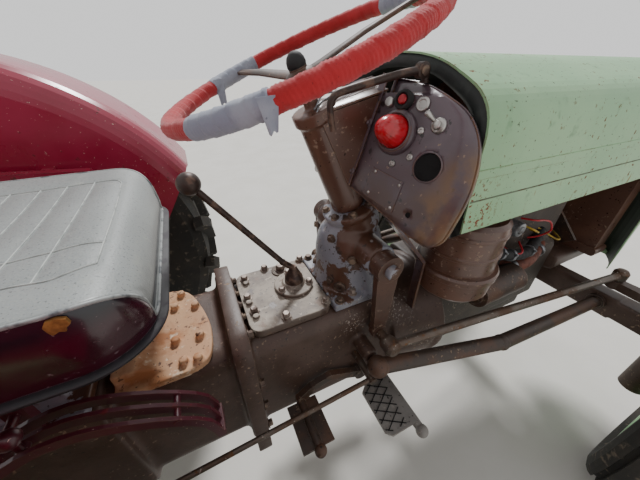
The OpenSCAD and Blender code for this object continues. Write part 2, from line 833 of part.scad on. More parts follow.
// The bonnet from the side in (x, z): its top, its rounded brow, and its stepped lower edge.
function hood_side(t, back, drop) = concat(
    [[back, hood_top + 10 - t], [wheelbase + 122, hood_top + 10 - t]],
    [for (a = [80 : -10 : 10])
        [wheelbase + 122 + (nose_reach - 122 - t) * cos(a), hood_top - 120 + (130 - t) * sin(a)]],
    [[nose_x - t, hood_top - 150], [nose_x - t, nose_edge_z - drop],
     [nose_side_x, nose_edge_z - drop], [nose_side_x - 14, hood_edge_z - 150 - drop],
     [nose_side_x - 34, hood_edge_z - 70 - drop], [nose_side_x - 62, hood_edge_z - 22 - drop],
     [nose_side_x - 104, hood_edge_z - 4 - drop], [nose_side_x - 150, hood_edge_z - drop],
     [back, hood_edge_z - drop]]);

// The solid form of the bonnet, drawn in by t, its rear at back, its lower edge lowered by drop.
module hood_form(t, back, drop) {
    intersection() {
        along_x(back, nose_x + 10) polygon(hood_outline(t));
        translate([0, 0, nose_edge_z - 60]) linear_extrude(800) polygon(nose_plan(t, back));
        along_y(-400, 400) polygon(hood_side(t, back, drop));
    }
}

module hood() {
    color(paint_mint) place() difference() {
        hood_form(0, hood_rear_x, 0);
        hood_form(hood_t, hood_rear_x - 5, 5);
        box([nose_start_x + 140, -grille_half_w, grille_z0], [nose_x + 20, grille_half_w, grille_z1]);
        box([hood_rear_x - 10, -400, nose_edge_z - 100], [nose_side_x, 400, nose_edge_z + 0.01]);
    }
}

module grille() {
    inset = hood_t + fit;
    rail = 14;
    plan_rail_x = nose_start_x - 10;
    color(paint_mint) place() {
        difference() {
            union() {
                for (z = [grille_z0 - 36, grille_z1 + 2])
                    translate([0, 0, z]) linear_extrude(14) difference() {
                        polygon(nose_plan(inset + 2, plan_rail_x));
                        polygon(nose_plan(inset + 2 + rail, plan_rail_x - 10));
                        translate([plan_rail_x - 20, -300]) square([nose_start_x + 160 - plan_rail_x, 600]);
                    }
                for (i = [0 : grille_bars - 1]) {
                    y = (i - (grille_bars - 1) / 2) * 2 * (grille_half_w - 8) / (grille_bars - 1);
                    x = nose_start_x + (nose_x - nose_start_x - inset - 9)
                        * sqrt(1 - pow(y / (hood_half_w + 5 - inset - 9), 2));
                    translate([x, y, grille_z0 - 30])
                        cylinder(r = 4, h = grille_z1 - grille_z0 + 40, $fn = 16);
                }
                both_sides() {
                    box([hood_pivot_x, hood_ear_y, 608], [hood_pivot_x + 42, hood_ear_y + hood_ear_t, 658]);
                    translate([hood_pivot_x, 0, hood_pivot_z])
                        bar_y(20, hood_ear_y, hood_ear_y + hood_ear_t);
                }
            }
            translate([hood_pivot_x, 0, hood_pivot_z]) bar_y(hood_pin_r + fit, -200, 200);
        }
    }
}

// The frame of the steering wheel: its origin at the hub, +Z along the column.
module wheel_frame() {
    translate([hub_x, 0, hub_z]) rotate([0, -column_lean, 0]) children();
}

module steering_rim() {
    color(cloth_red) place() wheel_frame()
        rotate_extrude($fn = 64) translate([wheel_rim_r, 0]) circle(r = wheel_grip_r);
}

module steering_spokes() {
    bore = 14 + fit;
    rim_inner = wheel_rim_r - wheel_grip_r - fit;
    color(metal_dark) place() wheel_frame() {
        rotate_extrude()
            polygon(concat([[bore, -34], [30, -34], [34, -26], [34, -10], [26, 2], [20, 4]],
                           [for (a = [-20 : 20 : 80]) [20 * cos(a), 14 + 14 * sin(a)]],
                           [[0, 28], [0, 8], [bore, 8]]));
        for (a = [105 : 120 : 345]) rotate([0, 0, a])
            along_y(-11, 11)
                polygon([[31, -22], [rim_inner - 14, -22], [rim_inner, -8], [rim_inner, 2],
                         [rim_inner - 8, 2], [rim_inner - 18, -14], [31, -14]]);
    }
}

module drop_arm(side) {
    hub_y0 = sector_boss_y + 0.5;
    eye_y0 = hub_y0 + drop_hub_t - 20;
    color("#6b6262") place(shaft_x, 0, 0) on_side(side) difference() {
        union() {
            translate([0, 0, shaft_z]) bar_y(32, hub_y0, hub_y0 + drop_hub_t);
            translate([0, 0, shaft_z - drop_arm_l]) bar_y(20, eye_y0, eye_y0 + 20);
            along_y(eye_y0, eye_y0 + 16)
                polygon([[-28, shaft_z - 14], [28, shaft_z - 14],
                         [17, shaft_z - drop_arm_l + 10], [-17, shaft_z - drop_arm_l + 10]]);
        }
        translate([0, 0, shaft_z]) bar_y(sector_shaft_r + fit, 100, 220);
        translate([0, 0, shaft_z - drop_arm_l]) bar_y(stud_r + fit, 100, 220);
    }
}

module drop_arm_left() {
    drop_arm(1);
}

module drop_arm_right() {
    drop_arm(-1);
}

module drag_link(side) {
    arm_face = sector_boss_y + 0.5 + drop_hub_t;
    rear_ball = [shaft_x, ball_y, shaft_z - drop_arm_l];
    front_ball = [wheelbase, front_ball_y, steer_arm_top + fit + 20];
    color("#6e665e") place() on_side(side) {
        translate([rear_ball[0], 0, rear_ball[2]]) rotate([-90, 0, 0]) rotate_extrude()
            polygon([[0, arm_face - 32], [13, arm_face - 32], [13, arm_face - 21],
                     [stud_r, arm_face - 21], [stud_r, arm_face + 0.5], [12, arm_face + 0.5],
                     [12, ball_y - 22], [17, ball_y - 20], [ball_r, ball_y - 12],
                     [ball_r, ball_y + 12], [15, ball_y + 19], [0, ball_y + 20]]);
        rod(rear_ball, front_ball, 11);
        translate(front_ball - [0, 0, 20]) rotate_extrude()
            polygon([[0, 0], [16, 0], [20, 8], [20, 30], [14, 38], [0, 40]]);
    }
}

module drag_link_left() {
    drag_link(1);
}

module drag_link_right() {
    drag_link(-1);
}

module knuckle(side) {
    color("#6b6262") place(wheelbase, 0, 0) on_side(side) {
        translate([0, kingpin_y, front_axle_z]) cylinder(r = kingpin_r, h = steer_arm_top - front_axle_z);
        translate([0, kingpin_y, front_axle_z - 34]) cylinder(r = 34, h = sleeve_z0 - free - front_axle_z + 34);
        translate([0, kingpin_y, steer_arm_z0]) cylinder(r = 32, h = steer_arm_t);
        translate([0, 0, steer_arm_z0]) linear_extrude(steer_arm_t)
            polygon([[-24, kingpin_y - 6], [24, kingpin_y - 6], [15, front_ball_y + 4],
                     [-15, front_ball_y + 4]]);
        translate([0, front_ball_y, steer_arm_z0]) cylinder(r = 20, h = steer_arm_t);
        translate([0, 0, front_axle_z]) bar_y(stub_r, kingpin_y, front_track_half + 62);
        translate([0, 0, front_axle_z]) bar_y(30, kingpin_y, kingpin_y + 46);
    }
}

module knuckle_left() {
    knuckle(1);
}

module knuckle_right() {
    knuckle(-1);
}

module front_tyre(side) {
    r = front_tyre_r;
    b = front_bead_r;
    w = front_tyre_w / 2;
    color(rubber_black) place(wheelbase, 0, front_axle_z) on_side(side)
        translate([0, front_track_half, 0]) about_y()
            polygon([[b, -42], [b + 14, -42], [b + 40, -w], [b + 64, -w], [r - 18, -50],
                     [r - 8, -40], [r - 4, -30], [r - 14, -28], [r - 14, -16], [r - 1, -14],
                     [r, -6], [r, 6], [r - 1, 14], [r - 14, 16], [r - 14, 28], [r - 4, 30],
                     [r - 8, 40], [r - 18, 50], [b + 64, w], [b + 40, w], [b + 14, 42], [b, 42]]);
}

module front_tyre_left() {
    front_tyre(1);
}

module front_tyre_right() {
    front_tyre(-1);
}

module front_rim(side) {
    b = front_bead_r - fit;
    color(paint_mint) place(wheelbase, 0, front_axle_z) on_side(side)
        translate([0, front_track_half, 0]) about_y()
            polygon([[stub_r + fit, -50], [38, -50], [42, -10], [60, 2], [150, 14], [200, 6],
                     [206, -20], [212, -24], [228, -24], [b - 8, -46], [b + 12, -46],
                     [b + 12, -42 - fit], [b, -42 - fit], [b, 42 + fit], [b + 12, 42 + fit],
                     [b + 12, 46], [b - 8, 46], [228, 24], [212, 22], [206, 16], [200, 14], [150, 22], [60, 10],
                     [48, 20], [42, 64], [20, 68], [stub_r + fit, 68]]);
}

module front_rim_left() {
    front_rim(1);
}

module front_rim_right() {
    front_rim(-1);
}

// One rear tyre lug at the top of the wheel: a straight bar that slants from the tread's middle
// out to the shoulder, with its end falling away there.
module lug(side) {
    slant = 45;
    y0 = -10;
    y1 = rear_tyre_w / 2 - 8;
    half_l = (y1 - y0) / 2 / sin(slant);
    root = rear_tyre_r - lug_h - 30;
    top = rear_tyre_r - 6;
    mirror([0, side > 0 ? 0 : 1, 0])
        translate([0, (y0 + y1) / 2, 0]) rotate([0, 0, 180 - slant])
            along_y(-lug_w / 2, lug_w / 2)
                polygon([[-half_l, root], [half_l - 6, root], [half_l, top - 26],
                         [half_l - 34, top], [-half_l + 5, top], [-half_l, top - 8]]);
}

module rear_tyre(side) {
    b = rear_bead_r;
    w = rear_tyre_w / 2;
    crown = rear_tyre_r - lug_h;
    color(rubber_black) place(0, 0, rear_axle_z) on_side(side) translate([0, rear_track_half, 0]) {
        about_y()
            polygon([[b, -92], [b + 24, -92], [b + 60, -w], [b + 120, -w],
                     [crown - 50, -w + 8], [crown - 14, -w + 30], [crown, -40], [crown, 40],
                     [crown - 14, w - 30], [crown - 50, w - 8], [b + 120, w], [b + 60, w],
                     [b + 24, 92], [b, 92]]);
        for (i = [0 : lug_count - 1]) {
            rotate([0, i * 360 / lug_count, 0]) lug(1);
            rotate([0, (i + 0.5) * 360 / lug_count, 0]) lug(-1);
        }
    }
}

module rear_tyre_left() {
    rear_tyre(1);
}

module rear_tyre_right() {
    rear_tyre(-1);
}

module rear_rim(side) {
    b = rear_bead_r - fit;
    drum_y = trumpet_end_y + backplate_t + drum_gap - rear_track_half;
    color(paint_mint) place(0, 0, rear_axle_z) on_side(side)
        translate([0, rear_track_half, 0]) about_y()
            polygon([[rear_shaft_r + fit, drum_y], [drum_r, drum_y], [drum_r, -110], [166, -96],
                     [180, -70], [250, -20], [300, -12], [318, -20], [322, -30], [b - 16, -60],
                     [b - 9, -98], [b + 22, -98], [b + 22, -92 - fit], [b, -92 - fit],
                     [b, 92 + fit], [b + 22, 92 + fit], [b + 22, 98], [b - 9, 98], [b - 16, 60],
                     [322, 24], [318, -6], [300, 0], [250, -8], [180, -56], [110, -66],
                     [90, -40], [70, -34], [rear_shaft_r + fit, -34]]);
}

module rear_rim_left() {
    rear_rim(1);
}

module rear_rim_right() {
    rear_rim(-1);
}

module lift_arms() {
    tip_x = -lift_arm_l;
    color(metal_dark) place(lift_shaft_x, 0, lift_shaft_z) {
        bar_y(lift_shaft_r, -lift_arm_y - lift_arm_t, lift_arm_y + lift_arm_t);
        both_sides() difference() {
            union() {
                bar_y(38, lift_arm_y, lift_arm_y + lift_arm_t);
                along_y(lift_arm_y, lift_arm_y + lift_arm_t)
                    polygon([[0, 32], [0, -32], [tip_x, -18], [tip_x, 18]]);
                translate([tip_x, 0, 0]) bar_y(20, lift_arm_y, lift_arm_y + lift_arm_t);
            }
            translate([tip_x, 0, 0]) bar_y(stud_r + fit, lift_arm_y - 5, lift_arm_y + lift_arm_t + 5);
        }
    }
}

module lower_link(side) {
    color(metal_dark) place() on_side(side) difference() {
        union() {
            translate([link_pin_x, 0, link_pin_z]) bar_y(27, link_pin_y - 12, link_pin_y + 12);
            translate([link_pin_x, link_pin_y, link_pin_z])
                rotate([0, 0, -link_yaw]) mirror([1, 0, 0])
                    rotate([0, -link_rise, 0])
                        box([14, -link_t / 2, -27], [link_len - 20, link_t / 2, 27]);
            translate([-link_reach, 0, link_end_z])
                bar_y(link_end_r, link_end_y - 18, link_end_y + 18);
            translate([rod_foot_x, 0, rod_foot_z])
                bar_y(14, lift_rod_y + lift_rod_t + free, link_pin_y + 73);
        }
        translate([link_pin_x, 0, link_pin_z]) bar_y(link_pin_r + fit, 100, 260);
        translate([-link_reach, 0, link_end_z]) bar_y(link_bore_r, 300, 400);
    }
}

module lower_link_left() {
    lower_link(1);
}

module lower_link_right() {
    lower_link(-1);
}

module lift_rod(side) {
    top = [lift_shaft_x - lift_arm_l, lift_rod_y + lift_rod_t / 2, lift_shaft_z];
    foot = [rod_foot_x, lift_rod_y + lift_rod_t / 2, rod_foot_z];
    color(metal_dark) place() on_side(side) {
        translate([top[0], 0, top[2]]) bar_y(20, lift_rod_y, lift_rod_y + lift_rod_t);
        translate([top[0], 0, top[2]]) bar_y(stud_r, lift_arm_y - 12, lift_rod_y + 2);
        translate([top[0], 0, top[2]]) bar_y(13, lift_arm_y - 12, lift_arm_y - 0.5);
        rod(top, foot, 10);
        rod(top * 0.62 + foot * 0.38, top * 0.38 + foot * 0.62, 15);
        difference() {
            translate([foot[0], 0, foot[2]]) bar_y(20, lift_rod_y, lift_rod_y + lift_rod_t);
            translate([foot[0], 0, foot[2]]) bar_y(stud_r, lift_rod_y + 10, lift_rod_y + 40);
        }
    }
}

module lift_rod_left() {
    lift_rod(1);
}

module lift_rod_right() {
    lift_rod(-1);
}

rear_case();
hatch_cover();
lift_cover();
gearbox_case();
gearbox_cover();
gear_lever();
axle_tubes();
engine_block();
manifold();
starter();
air_cleaner();
radiator();
fan();
fuel_tank();
front_support();
front_axle_beam();
radius_rods();
steering_box();
steering_column();
dash_panel();
dash_lamp();
throttle_lever();
seat_spring();
seat_pan();
seat_cushion();
quadrant();
fender_left();
fender_right();
fender_rails();
footrests();
pedals();
brake_rods();
drawbar();
hood();
grille();
steering_rim();
steering_spokes();
drop_arm_left();
drop_arm_right();
drag_link_left();
drag_link_right();
knuckle_left();
knuckle_right();
front_tyre_left();
front_tyre_right();
front_rim_left();
front_rim_right();
rear_tyre_left();
rear_tyre_right();
rear_rim_left();
rear_rim_right();
lift_arms();
lower_link_left();
lower_link_right();
lift_rod_left();
lift_rod_right();
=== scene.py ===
"""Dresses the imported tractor: materials, soft parts, fittings, floor, lights and camera.

Lengths in this file are millimetres of the axle frame: x forwards from the rear axle, y to the
driver's left, z up from the ground.
"""
import math

import bmesh
import bpy
from mathutils import Matrix, Vector, noise
from mathutils.geometry import delaunay_2d_cdt


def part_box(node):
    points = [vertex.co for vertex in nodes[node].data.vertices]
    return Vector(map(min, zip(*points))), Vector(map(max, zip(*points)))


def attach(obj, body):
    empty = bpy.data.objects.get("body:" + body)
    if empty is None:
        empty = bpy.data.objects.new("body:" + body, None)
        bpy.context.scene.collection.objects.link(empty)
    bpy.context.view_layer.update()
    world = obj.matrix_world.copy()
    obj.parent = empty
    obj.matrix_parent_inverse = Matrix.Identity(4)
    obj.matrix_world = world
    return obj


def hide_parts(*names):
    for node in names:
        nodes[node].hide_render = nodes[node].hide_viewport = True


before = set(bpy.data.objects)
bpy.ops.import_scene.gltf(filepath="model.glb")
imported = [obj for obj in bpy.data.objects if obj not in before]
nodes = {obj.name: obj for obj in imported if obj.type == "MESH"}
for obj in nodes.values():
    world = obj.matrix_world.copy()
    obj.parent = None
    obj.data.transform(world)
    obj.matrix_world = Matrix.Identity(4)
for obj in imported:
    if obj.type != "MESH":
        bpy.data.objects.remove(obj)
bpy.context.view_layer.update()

rim_low, rim_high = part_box("rear_rim_left")
AXLE_X = (rim_low.x + rim_high.x) / 2
SIDES = (("left", 1), ("right", -1))
UPRIGHT = Matrix.Rotation(math.radians(90), 4, "X")
COLUMN_LEAN = Matrix.Rotation(math.radians(-23), 4, "Y")


def at(x, y, z):
    """A point of the axle frame, in the row's metres."""
    return Vector((AXLE_X + x / 1000, y / 1000, z / 1000))


def curve_through(points, steps=6):
    """A smooth path through the points."""
    pts = [Vector(p) for p in points]
    ends = [2 * pts[0] - pts[1]] + pts + [2 * pts[-1] - pts[-2]]
    path = []
    for i in range(1, len(ends) - 2):
        p0, p1, p2, p3 = ends[i - 1:i + 3]
        for k in range(steps):
            t = k / steps
            path.append(0.5 * (2 * p1 + (p2 - p0) * t + (2 * p0 - 5 * p1 + 4 * p2 - p3) * t * t
                               + (3 * p1 - p0 - 3 * p2 + p3) * t ** 3))
    return path + [pts[-1]]


def circle(steps):
    """Cosine and sine at even steps, once round."""
    turns = [2 * math.pi * k / steps for k in range(steps)]
    return [(math.cos(t), math.sin(t)) for t in turns]


def heading(angle):
    """A level direction, by its angle from x towards y in degrees."""
    a = math.radians(angle)
    return Vector((math.cos(a), math.sin(a), 0))


def rounded(low, high, r, steps):
    """A rounded rectangle's outline: corner centres, each with its outward cosine and sine."""
    for right, top, start in ((1, 1, 0), (0, 1, 90), (0, 0, 180), (1, 0, 270)):
        u = high[0] - r if right else low[0] + r
        v = high[1] - r if top else low[1] + r
        for k in range(steps + 1):
            a = math.radians(start + 90 * k / steps)
            yield u, v, math.cos(a), math.sin(a)


def two_layers(rows, cols, flip):
    """Faces of two grids of points, one behind the other, and the border that joins them."""
    w = cols + 1
    n = (rows + 1) * w
    faces = []
    for i in range(rows):
        for k in range(cols):
            a = i * w + k
            quads = [[a, a + 1, a + w + 1, a + w], [a, a + w, a + w + 1, a + 1]]
            if flip:
                quads.reverse()
            faces.append(quads[0])
            faces.append([n + v for v in quads[1]])
    rim = list(range(w)) + [i * w + cols for i in range(1, rows + 1)]
    rim += [rows * w + k for k in range(cols - 1, -1, -1)] + [i * w for i in range(rows - 1, 0, -1)]
    for i, a in enumerate(rim):
        b = rim[(i + 1) % len(rim)]
        faces.append([a, b, n + b, n + a])
    return faces, rim


def new_object(name, data):
    """A new object, put into the scene."""
    made = bpy.data.objects.new(name, data)
    bpy.context.scene.collection.objects.link(made)
    return made


class Shape:
    """Faces of one new piece, gathered in millimetres of the axle frame."""

    def __init__(self):
        self.points = []
        self.faces = []
        self.slots = []

    def add(self, points, faces, slot=0):
        base = len(self.points)
        self.points += [Vector(p) for p in points]
        self.faces += [[base + i for i in face] for face in faces]
        self.slots += [slot] * len(faces)

    def rings(self, rings, slot=0, loop=False, caps=True):
        """Joins closed rings of points, each to the next."""
        n = len(rings[0])
        faces = []
        for i in range(len(rings) if loop else len(rings) - 1):
            a = i * n
            b = (i + 1) % len(rings) * n
            for j in range(n):
                k = (j + 1) % n
                faces.append([a + j, a + k, b + k, b + j])
        if caps and not loop:
            faces.append(list(range(n))[::-1])
            faces.append([(len(rings) - 1) * n + j for j in range(n)])
        self.add([p for ring in rings for p in ring], faces, slot)

    def tube(self, path, radius, sides=12, slot=0, loop=False):
        """A round tube along the path, of one radius or of one for each point."""
        path = [Vector(p) for p in path]
        radii = radius if isinstance(radius, list) else [radius] * len(path)
        side = None
        rings = []
        for i, p in enumerate(path):
            before = path[i - 1] if i or loop else p
            after = path[(i + 1) % len(path)] if i < len(path) - 1 or loop else p
            along = (after - before).normalized()
            side = along.orthogonal() if side is None else side - along * side.dot(along)
            side.normalize()
            up = along.cross(side)
            rings.append([p + radii[i] * (c * side + s * up) for c, s in circle(sides)])
        self.rings(rings, slot, loop)

    def turn(self, origin, axis, profile, steps=32, slot=0, caps=True):
        """Turns the profile of (along, radius) pairs about the axis."""
        origin = Vector(origin)
        axis = Vector(axis).normalized()
        side = axis.orthogonal().normalized()
        up = axis.cross(side)
        rings = []
        for along, r in profile:
            rings.append([origin + axis * along + r * (c * side + s * up) for c, s in circle(steps)])
        self.rings(rings, slot, caps=caps)

    def slab(self, outline, low, high, matrix):
        """A flat plate: its outline in the matrix's x and y, from low to high in its z."""
        self.rings([[matrix @ Vector((u, v, z)) for u, v in outline] for z in (low, high)])

    def bolt(self, origin, axis, r=9, h=8, washer=1.35, slot=0):
        """A hexagon head with a chamfer, on a washer."""
        lift = 0
        if washer:
            self.turn(origin, axis, [(-0.5, r * washer), (2, r * washer), (2.4, r * washer - 0.6)],
                      20, slot)
            lift = 2.2
        head = [(lift - 0.5, r * 0.97), (lift + h * 0.8, r), (lift + h, r * 0.82)]
        self.turn(origin, axis, head, 6, slot)

    def make(self, name, materials, body="chassis", bevel=0, smooth=35, *, slot):
        """The finished piece: its mesh, rounded edges and body; its slot argument is not used."""
        mesh = bpy.data.meshes.new(name)
        mesh.from_pydata([at(*p) for p in self.points], [], self.faces)
        for material in materials:
            mesh.materials.append(material)
        mesh.polygons.foreach_set("material_index", self.slots)
        work = bmesh.new()
        work.from_mesh(mesh)
        bmesh.ops.recalc_face_normals(work, faces=work.faces)
        work.to_mesh(mesh)
        work.free()
        mesh.polygons.foreach_set("use_smooth", [True] * len(mesh.polygons))
        mesh.set_sharp_from_angle(angle=math.radians(smooth))
        piece = new_object(name, mesh)
        if bevel:
            edge = piece.modifiers.new("Bevel", "BEVEL")
            edge.width = bevel / 1000
            edge.segments = 2
            edge.limit_method = "ANGLE"
            edge.angle_limit = math.radians(40)
            edge.harden_normals = True
        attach(piece, body)
        return piece


def rgb(text):
    """A written colour as linear light."""
    parts = [int(text[i:i + 2], 16) / 255 for i in (1, 3, 5)]
    return [c / 12.92 if c <= 0.04045 else ((c + 0.055) / 1.055) ** 2.4 for c in parts] + [1]


def new_node(tree, kind, inputs=None, **settings):
    """A new shader node, with its settings made and its inputs linked or set."""
    node = tree.nodes.new("ShaderNode" + kind)
    for key, value in settings.items():
        setattr(node, key, value)
    for key, value in (inputs or {}).items():
        if isinstance(value, bpy.types.NodeSocket):
            tree.links.new(value, node.inputs[key])
        else:
            node.inputs[key].default_value = value
    return node


class Finish:
    """A node material, built up from masks over one shader."""

    def __init__(self, name, colour, rough, **constants):
        self.material = bpy.data.materials.new(name)
        self.material.use_nodes = True
        self.tree = self.material.node_tree
        self.shader = self.tree.nodes["Principled BSDF"]
        for key, value in constants.items():
            self.shader.inputs[key.replace("_", " ").title()].default_value = value
        self.place = self.node("TexCoord").outputs["Object"]
        self.colour = rgb(colour)
        self.rough = rough
        self.height = None

    def node(self, kind, inputs=None, **settings):
        return new_node(self.tree, kind, inputs, **settings)

    def math(self, kind, a, b):
        return self.node("Math", {0: a, 1: b}, operation=kind).outputs[0]

    def noise(self, scale, detail=4.0, rough=0.55, stretch=None):
        place = self.place
        if stretch:
            place = self.node("Mapping", {"Vector": place, "Scale": stretch}).outputs[0]
        inputs = {"Vector": place, "Scale": scale, "Detail": detail, "Roughness": rough}
        return self.node("TexNoise", inputs).outputs["Fac"]

    def cells(self, scale):
        return self.node("TexVoronoi", {"Vector": self.place, "Scale": scale}).outputs["Distance"]

    def step(self, value, low, high):
        inputs = {0: value, 1: low, 2: high}
        return self.node("MapRange", inputs, interpolation_type="SMOOTHSTEP").outputs[0]

    def mask(self, scale, low, high, **how):
        return self.step(self.noise(scale, **how), low, high)

    def axis(self, index):
        """One coordinate of the row frame, in metres."""
        return self.node("SeparateXYZ", {0: self.place}).outputs[index]

    def normal(self):
        return self.node("NewGeometry").outputs["Normal"]

    def facing(self, index):
        """One coordinate of the surface's own direction."""
        return self.node("SeparateXYZ", {0: self.normal()}).outputs[index]

    def edges(self, width):
        """One along edges, nought on flat faces."""
        soft = self.node("Bevel", {"Radius": width / 1000}, samples=4).outputs[0]
        dot = self.node("VectorMath", {0: soft, 1: self.normal()}, operation="DOT_PRODUCT")
        return self.step(self.math("SUBTRACT", 1.0, dot.outputs["Value"]), 0.03, 0.25)

    def facing_up(self, low=0.35, high=0.85):
        """One on faces that look up, where dust settles; on the seat it also places a painted sheen."""
        return self.step(self.facing(2), low, high)

    def looking_in(self):
        """One on the faces of a shell that look down or towards the middle plane."""
        inward = self.math("MULTIPLY", self.facing(1), self.axis(1))
        down = self.step(self.facing(2), -0.3, -0.6)
        return self.either(self.step(inward, -0.04, -0.10), down)

    def near(self, x, y, z, radius, soft):
        """One within the radius of a point of the axle frame, all in millimetres."""
        far = self.node("VectorMath", {0: self.place, 1: at(x, y, z)}, operation="DISTANCE")
        return self.step(far.outputs["Value"], (radius + soft) / 1000, (radius - soft) / 1000)

    def both(self, a, b):
        return self.math("MULTIPLY", a, b)

    def either(self, a, b):
        return self.math("MAXIMUM", a, b)

    def paint(self, mask, colour, rough):
        """Lays a colour and its roughness over the mask."""
        mix = self.node("Mix", {0: mask, 6: self.colour, 7: rgb(colour)}, data_type="RGBA")
        self.colour = mix.outputs[2]
        self.rough = self.node("Mix", {0: mask, 2: self.rough, 3: rough}).outputs[0]

    def spots(self, scale, low, high, colour, dull, within=None, **how):
        """Paints the peaks of a noise, everywhere or within another mask."""
        mask = self.mask(scale, low, high, **how)
        self.paint(mask if within is None else self.both(mask, within), colour, dull)

    def lift(self, mask, mm):
        """Raises the surface by mm where the mask is one."""
        part = self.math("MULTIPLY", mask, mm / 1000)
        self.height = part if self.height is None else self.math("ADD", self.height, part)

    def grain(self, scale, detail, mm):
        self.lift(self.noise(scale, detail), mm)

    def done(self):
        bump = self.node("Bump", {"Distance": 1, "Height": self.height})
        for key, value in (("Base Color", self.colour), ("Roughness", self.rough),
                           ("Normal", bump.outputs[0])):
            self.tree.links.new(value, self.shader.inputs[key])
        return self.material


def worn(name, base, patch, dust, dark, edge, rough=0.6, grain=0.3, **constants):
    """Paint on a casting: broad patches, pale dust, dark specks, rubbed edges and a sand grain."""
    f = Finish(name, base, rough, **constants)
    f.spots(11, 0.44, 0.62, patch, rough + 0.08, detail=6.0)
    f.spots(100, 0.60, 0.66, dust, 0.85, f.mask(9, 0.46, 0.58), detail=5.0)
    f.spots(130, 0.63, 0.70, dark, rough - 0.1)
    f.spots(60, 0.35, 0.55, edge, 0.5, f.edges(3))
    f.grain(240, 3.0, grain)
    f.grain(30, 2.0, 0.8)
    return f


def layered(name, base, rough, spots, grains, **constants):
    """Noise spots, each (scale, low, high, colour, roughness, detail), and grains."""
    f = Finish(name, base, rough, **constants)
    for *spot, detail in spots:
        f.spots(*spot, detail=detail)
    for grain in grains:
        f.grain(*grain)
    return f.done()


def rusty_hatch():
    """Orange rust and pale dust in clouds over the rear case's cover."""
    f = worn("hatch_rust", "#c89c78", "#d0a67f", "#e0cbb0", "#54392a", "#6b4f3c", rough=0.7)
    f.spots(16, 0.50, 0.66, "#b0764c", 0.75, detail=8.0)
    f.spots(28, 0.60, 0.70, "#e0cdb4", 0.85, detail=7.0)
    f.spots(60, 0.60, 0.66, "#5c3b28", 0.6, f.mask(8, 0.45, 0.55), detail=6.0)
    return f.done()


def chipped_case():
    """Oily brown on the long castings, with clusters of pale chips on the gearbox's flanks."""
    f = worn("case_paint", "#4a362c", "#5a463d", "#957f6c", "#2c211d", "#86756a", rough=0.46)
    chips = f.mask(150, 0.57, 0.60)
    flank = 125
    for x, z, r in ((933, 794, 38), (1006, 700, 46), (860, 700, 26), (1100, 560, 40)):
        for y in (-flank, flank):
            f.paint(f.both(chips, f.near(x, y, z, r, r * 0.8)), "#b8ada4", 0.6)
    return f.done()


def two_tone_casting(name, patches):
    """Grey primer showing through brown paint in ragged patches, some in places that are known."""
    f = worn(name, "#8b8d97", "#9b9ba3", "#c4c0be", "#3b2f2d", "#b9b3b0", rough=0.42)
    ragged = f.noise(22, 9.0, 0.66)
    brown = f.step(f.noise(7, 9.0, 0.64), 0.555, 0.57)
    for x, y, z, r in patches:
        close = f.near(x, y, z, r, r * 0.9)
        brown = f.either(brown, f.step(f.both(close, ragged), 0.20, 0.215))
    f.paint(brown, "#5d4032", 0.36)
    f.spots(70, 0.60, 0.66, "#9b9290", 0.6, f.mask(9, 0.45, 0.55), detail=5.0)
    f.spots(34, 0.62, 0.66, "#3f302a", 0.4, detail=7.0)
    return f.done()


def foot_pads():
    """The front pads' bare grey steel, and the rear ones' black rubber."""
    f = worn("pad_finish", "#8f8a85", "#7d7874", "#a39b93", "#3b3633", "#9b948d", rough=0.5, grain=0.2)
    behind = f.step(f.math("SUBTRACT", f.axis(0), AXLE_X), 0.80, 0.78)
    f.paint(behind, "#1b1a1b", 0.6)
    return f.done()


def cover_beige():
    """The gearbox cover: pale dust over brown paint, with oil stains."""
    f = Finish("cover_paint", "#64564c", 0.5)
    f.spots(14, 0.36, 0.60, "#b0a699", 0.7, f.facing_up(), detail=7.0, rough=0.65)
    f.spots(60, 0.58, 0.68, "#ccc3b6", 0.85, detail=5.0)
    f.spots(17, 0.56, 0.66, "#7a6250", 0.5, detail=8.0)
    f.spots(22, 0.60, 0.65, "#4a382e", 0.4, detail=7.0)
    f.spots(120, 0.62, 0.68, "#352a25", 0.5)
    f.spots(60, 0.35, 0.55, "#c8c0b4", 0.5, f.edges(3))
    f.grain(240, 3.0, 0.25)
    f.grain(30, 2.0, 0.8)
    return f.done()


def dash_gloss():
    """Purple grey gloss above, brown towards the lower edge and ochre where it is rubbed."""
    f = Finish("dash_gloss", "#57484f", 0.3, Coat_weight=0.4, Coat_roughness=0.18)
    f.spots(7, 0.42, 0.60, "#6b5d65", 0.4, detail=5.0)
    f.spots(12, 0.36, 0.56, "#56403a", 0.4, f.step(f.axis(2), 1.10, 1.02), detail=5.0)
    f.spots(55, 0.62, 0.68, "#2b1f20", 0.3)
    f.spots(90, 0.66, 0.71, "#a08a78", 0.7)
    for side in (1, -1):
        low_spot = f.near(932, -238 * side, 1016, 60, 25)
        rubbed = f.either(low_spot, f.near(957, -247 * side, 1076, 50, 25))
        f.spots(14, 0.34, 0.52, "#7d6044", 0.55, rubbed, detail=6.0)
    f.spots(30, 0.40, 0.55, "#9a6a3d", 0.7, f.edges(2.5))
    f.grain(18, 2.0, 1.2)
    f.grain(300, 2.0, 0.06)
    return f.done()


